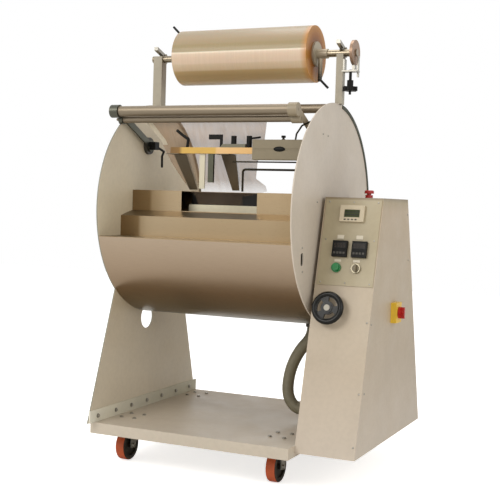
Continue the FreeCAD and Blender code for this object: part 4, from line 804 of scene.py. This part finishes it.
CONTROLLERS_U = {"left": 90.0, "right": 170.0}
CONTROLLERS_V = -211.0
CONTROLLER_FACE = PANEL_T + 14.0
READOUT_FACE = CONTROLLER_FACE + 1.0
READOUT_V = CONTROLLERS_V + 12.5
READOUT_SIZE = (53.0, 26.0)
DIGITS = 4
DIGITS_LEFT = -18.0
DIGIT_PITCH = 12.0
# Bars of one digit, round its middle: right, up, width and height
DIGIT_BARS = [(0, 7, 6, 1.2), (0, 0, 6, 1.2), (0, -7, 6, 1.2), (-3.4, 3.5, 1.2, 5.4),
              (3.4, -3.5, 1.2, 5.4)]
READOUT_KEYS = 4
READOUT_KEYS_V = CONTROLLERS_V - 17.5
READOUT_KEYS_LEFT = -19.5
READOUT_KEY_PITCH = 13.0
READOUT_KEY_SIZE = (9.0, 9.0)
READOUT_KEY_H = 2.0


def controller_faces():
    """Readout, digits and keys on each of the two controllers."""
    for name, u in CONTROLLERS_U.items():
        work = bmesh.new()
        rounded_plate(work, front_axes(u, READOUT_V), *READOUT_SIZE, CONTROLLER_FACE,
                      READOUT_FACE)
        finish_mesh(work, name + "_readout", READOUT, "frame")
        work = bmesh.new()
        for step in range(DIGITS):
            digit_u = u + DIGITS_LEFT + step * DIGIT_PITCH
            for right, up, wide, tall in DIGIT_BARS:
                rounded_plate(work, front_axes(digit_u + right, READOUT_V + up), wide, tall,
                              READOUT_FACE, READOUT_FACE + MARK_T, radius=0.5, edge=0.05,
                              steps=1)
        finish_mesh(work, name + "_digits", READOUT_LIT, "frame")
        work = bmesh.new()
        for step in range(READOUT_KEYS):
            spot = front_axes(u + READOUT_KEYS_LEFT + step * READOUT_KEY_PITCH, READOUT_KEYS_V)
            rounded_plate(work, spot, *READOUT_KEY_SIZE, CONTROLLER_FACE - KEY_ROOT,
                          CONTROLLER_FACE + READOUT_KEY_H, radius=1.5)
        finish_mesh(work, name + "_keys", DARK_GREY, "frame")


BEAM_FACE = -292.0
COVERS_X = 306.0
COVERS_W = 232.0
COVERS_T = 1.6
# Middle and height of each cover
COVERS = [(1329.0, 34.0), (1288.0, 36.0)]
GRIP_PLACE = at(302.5, BEAM_FACE, 1310.5)
GRIP_STRETCH = Matrix.Diagonal((2.2, 0.9, 1.0, 1.0))
GRIP_PROFILE = [(11.0, 0.0), (11.0, 3.0), (8.5, 6.0), (4.0, 7.2), (0.0, 7.4)]
KNOB_PLACE = at(309.0, -270.0, 1348.0)
KNOB_PROFILE = [(7.0, 0.0), (7.0, 3.0), (4.5, 4.0), (4.5, 8.0), (9.0, 9.0), (9.0, 15.0),
                (7.5, 17.0), (0.0, 17.4)]


def beam_details():
    """Two front covers with a slot between them, an oval grip and a small knob above."""
    work = bmesh.new()
    for middle, tall in COVERS:
        matrix = axes(at(COVERS_X, BEAM_FACE, middle), X_AXIS, -Y_AXIS)
        rounded_plate(work, matrix, COVERS_W, tall, 0.0, COVERS_T, radius=3.0, edge=0.5)
    finish_mesh(work, "beam_covers", BEAM, "frame")
    work = bmesh.new()
    turned(work, axes(GRIP_PLACE, X_AXIS, -Y_AXIS) @ GRIP_STRETCH, GRIP_PROFILE, sides=32)
    finish_mesh(work, "beam_grip", BLACK, "frame")
    work = bmesh.new()
    turned(work, axes(KNOB_PLACE, X_AXIS, Z_AXIS), KNOB_PROFILE)
    finish_mesh(work, "beam_knob", BLACK, "frame")


# Film: height, left edge and right edge, in rows from the roller to under the jaws' top
FILM_EDGES = [
    (1430.0, -318.0, 243.0), (1350.0, -262.0, 215.0), (1262.0, -236.0, 166.0),
    (1197.0, -205.0, 145.0), (1168.0, -189.0, 182.0), (1145.0, -176.0, 184.0),
    (1118.0, -154.0, 62.0), (1083.0, -152.0, 60.0), (1040.0, -152.0, 60.0)]
# Places in (y, z) where the film leaves the roller and where it meets the jaws
FILM_TOP = (-284.8, 1430.4)
FILM_JAW = (-94.5, 1083.0)
FILM_CLEARANCE = 0.3
FILM_COLUMNS = 60
FILM_ROWS = 70
# Folds: their height, and the runs in which they rise under the roller and sink over the jaws
FOLD_HEIGHT = 1.1
FOLD_START = 60.0
FOLD_END = 80.0
FOLD_END_Z = 1120.0
# Broad folds and finer ones on them, in radians over the sheet's width, their sway in
# radians, and the height in which they shift by one radian
BROAD_FOLDS = 31.0
BROAD_SWAY = 0.6
BROAD_SHIFT = 70.0
FINE_FOLDS = 57.0
FINE_SHARE = 0.6
FINE_SHIFT = 110.0
# The denser strip at the left edge, in millimetres, and its foot, in metres
STRIP_W = 26.0
STRIP_FOOT = 1.33


def film_y(z):
    """The film's y at a height: on a line to the jaws, and straight down below them."""
    share = (FILM_TOP[1] - max(z, FILM_JAW[1])) / (FILM_TOP[1] - FILM_JAW[1])
    return FILM_TOP[0] + (FILM_JAW[0] - FILM_TOP[0]) * share


def film_edge(z):
    """The film's left and right edge at a height."""
    for (z0, left0, right0), (z1, left1, right1) in zip(FILM_EDGES, FILM_EDGES[1:]):
        if z >= z1:
            share = (z0 - z) / (z0 - z1)
            return left0 + (left1 - left0) * share, right0 + (right1 - right0) * share
    return FILM_EDGES[-1][1:]


def film_sheet():
    """The film as one thin sheet with shallow lengthwise folds."""
    work = bmesh.new()
    rows = []
    top = FILM_EDGES[0][0]
    foot = FILM_EDGES[-1][0]
    for row in range(FILM_ROWS + 1):
        z = top + (foot - top) * row / FILM_ROWS
        left, right = film_edge(z)
        free = min(1.0, (top - z) / FOLD_START) * min(1.0, max(0.0, (z - FOLD_END_Z) / FOLD_END))
        line = []
        for column in range(FILM_COLUMNS + 1):
            share = column / FILM_COLUMNS
            x = left + (right - left) * share
            wave = math.sin(share * BROAD_FOLDS + BROAD_SWAY * math.sin(z / BROAD_SHIFT))
            wave += FINE_SHARE * math.sin(share * FINE_FOLDS + z / FINE_SHIFT)
            y = film_y(z) + FILM_CLEARANCE + free * FOLD_HEIGHT * wave
            line.append(work.verts.new(at(x, y, z)))
        rows.append(line)
    for one, two in zip(rows, rows[1:]):
        for index in range(FILM_COLUMNS):
            work.faces.new([one[index], one[index + 1], two[index + 1], two[index]])
    area = sum(face.calc_area() for face in work.faces)
    for face in work.faces:
        centre = face.calc_center_median() - SHIFT
        left = film_edge(centre.z * 1000)[0]
        if centre.x * 1000 < left + STRIP_W and centre.z > STRIP_FOOT:
            face.material_index = 1
    piece = finish_mesh(work, "film_sheet", FILM, "frame")
    piece.data.materials.append(FILM_FOLD)
    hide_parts("film_web")


# Service conduit: control points from the gland under the drum to the console's gland
CONDUIT_ROUTE = [
    (356.0, 0.0, 587.0), (356.0, 0.0, 545.0), (300.0, 0.0, 484.0), (262.0, 0.0, 406.0),
    (248.0, 0.0, 318.0), (262.0, 0.0, 262.0), (308.0, 0.0, 226.0), (429.5, 0.0, 226.0)]
# In metres, as the hose's points are
CONDUIT_D = 0.05
RIB_PITCH = 0.0056
RIB_DEPTH = 0.0011
STEPS_PER_RIB = 4
HOSE_SIDES = 28
ROUTE_STEPS = 40


def smooth_line(route):
    """Points of a smooth curve that has the route's points as its control points."""
    data = bpy.data.curves.new("route", "CURVE")
    data.dimensions = "3D"
    data.resolution_u = ROUTE_STEPS
    spline = data.splines.new("NURBS")
    spline.points.add(len(route) - 1)
    for target, place in zip(spline.points, route):
        target.co = (*at(*place), 1.0)
    spline.order_u = 3
    spline.use_endpoint_u = True
    holder = bpy.data.objects.new("route", data)
    mesh = bpy.data.meshes.new_from_object(holder)
    points = [vertex.co.copy() for vertex in mesh.vertices]
    bpy.data.meshes.remove(mesh)
    bpy.data.objects.remove(holder)
    bpy.data.curves.remove(data)
    return points


def evenly(points, pitch):
    """Places and directions at even steps along a line of points, and its length."""
    lengths = [0.0]
    for one, two in zip(points, points[1:]):
        lengths.append(lengths[-1] + (two - one).length)
    count = int(lengths[-1] / pitch)
    places = []
    index = 0
    for step in range(count + 1):
        wanted = lengths[-1] * step / count
        while index < len(points) - 2 and lengths[index + 1] < wanted:
            index += 1
        run = lengths[index + 1] - lengths[index]
        share = (wanted - lengths[index]) / run if run else 0.0
        direction = (points[index + 1] - points[index]).normalized()
        places.append((points[index].lerp(points[index + 1], share), direction))
    return places, lengths[-1]


def ribbed_hose():
    """The conduit as a hose with a groove in the second half of each rib's pitch."""
    points = smooth_line(CONDUIT_ROUTE)
    places, length = evenly(points, RIB_PITCH / STEPS_PER_RIB)
    work = bmesh.new()
    rings = []
    for step, (place, direction) in enumerate(places):
        out = Y_AXIS.cross(direction).normalized()
        in_groove = step % STEPS_PER_RIB >= STEPS_PER_RIB / 2
        radius = CONDUIT_D / 2 - (RIB_DEPTH if in_groove else 0.0)
        ring = []
        for index in range(HOSE_SIDES):
            angle = 2 * math.pi * index / HOSE_SIDES
            ring.append(work.verts.new(
                place + Y_AXIS * radius * math.cos(angle) + out * radius * math.sin(angle)))
        rings.append(ring)
    join_rings(work, rings)
    piece = finish_mesh(work, "ribbed_hose", HOSE, "frame", sharp=60.0)
    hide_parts("service_conduit")


machine_screws()
frame_bolts()
axle_nuts()
panel_labels()
display_details()
controller_faces()
beam_details()
film_sheet()
ribbed_hose()


# Floor, light and backdrop, in metres and watts
FLOOR_SIZE = 9.0
FLOOR_COLOR = (0.93, 0.93, 0.92, 1)
FLOOR_ROUGHNESS = 0.9
FLOOR_GLOW = 0.68
SKY_COLOR = (1.0, 0.985, 0.96, 1)
SKY_STRENGTH = 0.55
LAMP_COLOR = (1, 0.98, 0.95)
# Name, place, what it points at, width and height, power
LAMPS = [
    ("key", (-1.8, -4.2, 3.4), (0.0, 0.0, 0.9), (2.4, 1.8), 95),
    ("fill", (4.0, -2.2, 2.4), (0.2, 0.0, 0.8), (2.4, 2.0), 38),
    ("top", (0.0, 0.6, 4.6), (0.0, 0.0, 1.0), (2.6, 2.2), 55)]


def stage():
    """A pale floor that glows for the camera alone, so that it ends in white."""
    data = bpy.data.meshes.new("floor")
    work = bmesh.new()
    bmesh.ops.create_grid(work, x_segments=2, y_segments=2, size=FLOOR_SIZE)
    work.to_mesh(data)
    work.free()
    floor = placed("floor", data)
    made = Nodes("floor")
    made.set(Base_Color=FLOOR_COLOR, Roughness=FLOOR_ROUGHNESS)
    path = made.node("ShaderNodeLightPath")
    glow = made.node("ShaderNodeEmission")
    glow.inputs["Color"].default_value = WHITE
    glow.inputs["Strength"].default_value = FLOOR_GLOW
    total = made.node("ShaderNodeAddShader")
    mix = made.node("ShaderNodeMixShader")
    made.link(made.shader.outputs[0], total.inputs[0])
    made.link(glow.outputs[0], total.inputs[1])
    made.link(path.outputs["Is Camera Ray"], mix.inputs["Fac"])
    made.link(made.shader.outputs[0], mix.inputs[1])
    made.link(total.outputs[0], mix.inputs[2])
    made.link(mix.outputs[0], made.tree.nodes["Material Output"].inputs["Surface"])
    data.materials.append(made.material)


def world():
    """Soft warm light from all sides, and plain white where the sky itself is seen."""
    made = bpy.data.worlds.new("world")
    bpy.context.scene.world = made
    made.use_nodes = True
    tree = made.node_tree
    sky = tree.nodes["Background"]
    white = tree.nodes.new("ShaderNodeBackground")
    for background, color, strength in ((sky, SKY_COLOR, SKY_STRENGTH), (white, WHITE, 1.0)):
        background.inputs["Color"].default_value = color
        background.inputs["Strength"].default_value = strength
    path = tree.nodes.new("ShaderNodeLightPath")
    seen = path.outputs["Is Camera Ray"]
    for ray in ("Is Glossy Ray", "Is Transmission Ray"):
        either = tree.nodes.new("ShaderNodeMath")
        either.operation = "MAXIMUM"
        tree.links.new(seen, either.inputs[0])
        tree.links.new(path.outputs[ray], either.inputs[1])
        seen = either.outputs[0]
    mix = tree.nodes.new("ShaderNodeMixShader")
    tree.links.new(seen, mix.inputs["Fac"])
    tree.links.new(sky.outputs[0], mix.inputs[1])
    tree.links.new(white.outputs[0], mix.inputs[2])
    tree.links.new(mix.outputs[0], tree.nodes["World Output"].inputs["Surface"])


def area_light(name, place, target, size, power):
    """A lamp with a wide face that points at a target."""
    data = bpy.data.lights.new(name, "AREA")
    data.shape = "RECTANGLE"
    data.size, data.size_y = size
    data.energy = power
    data.color = LAMP_COLOR
    lamp = placed(name, data)
    lamp.location = place
    lamp.rotation_mode = "QUATERNION"
    lamp.rotation_quaternion = (Vector(target) - Vector(place)).to_track_quat("-Z", "Y")


stage()
world()
for lamp_values in LAMPS:
    area_light(*lamp_values)
bpy.context.scene.view_settings.view_transform = "Standard"
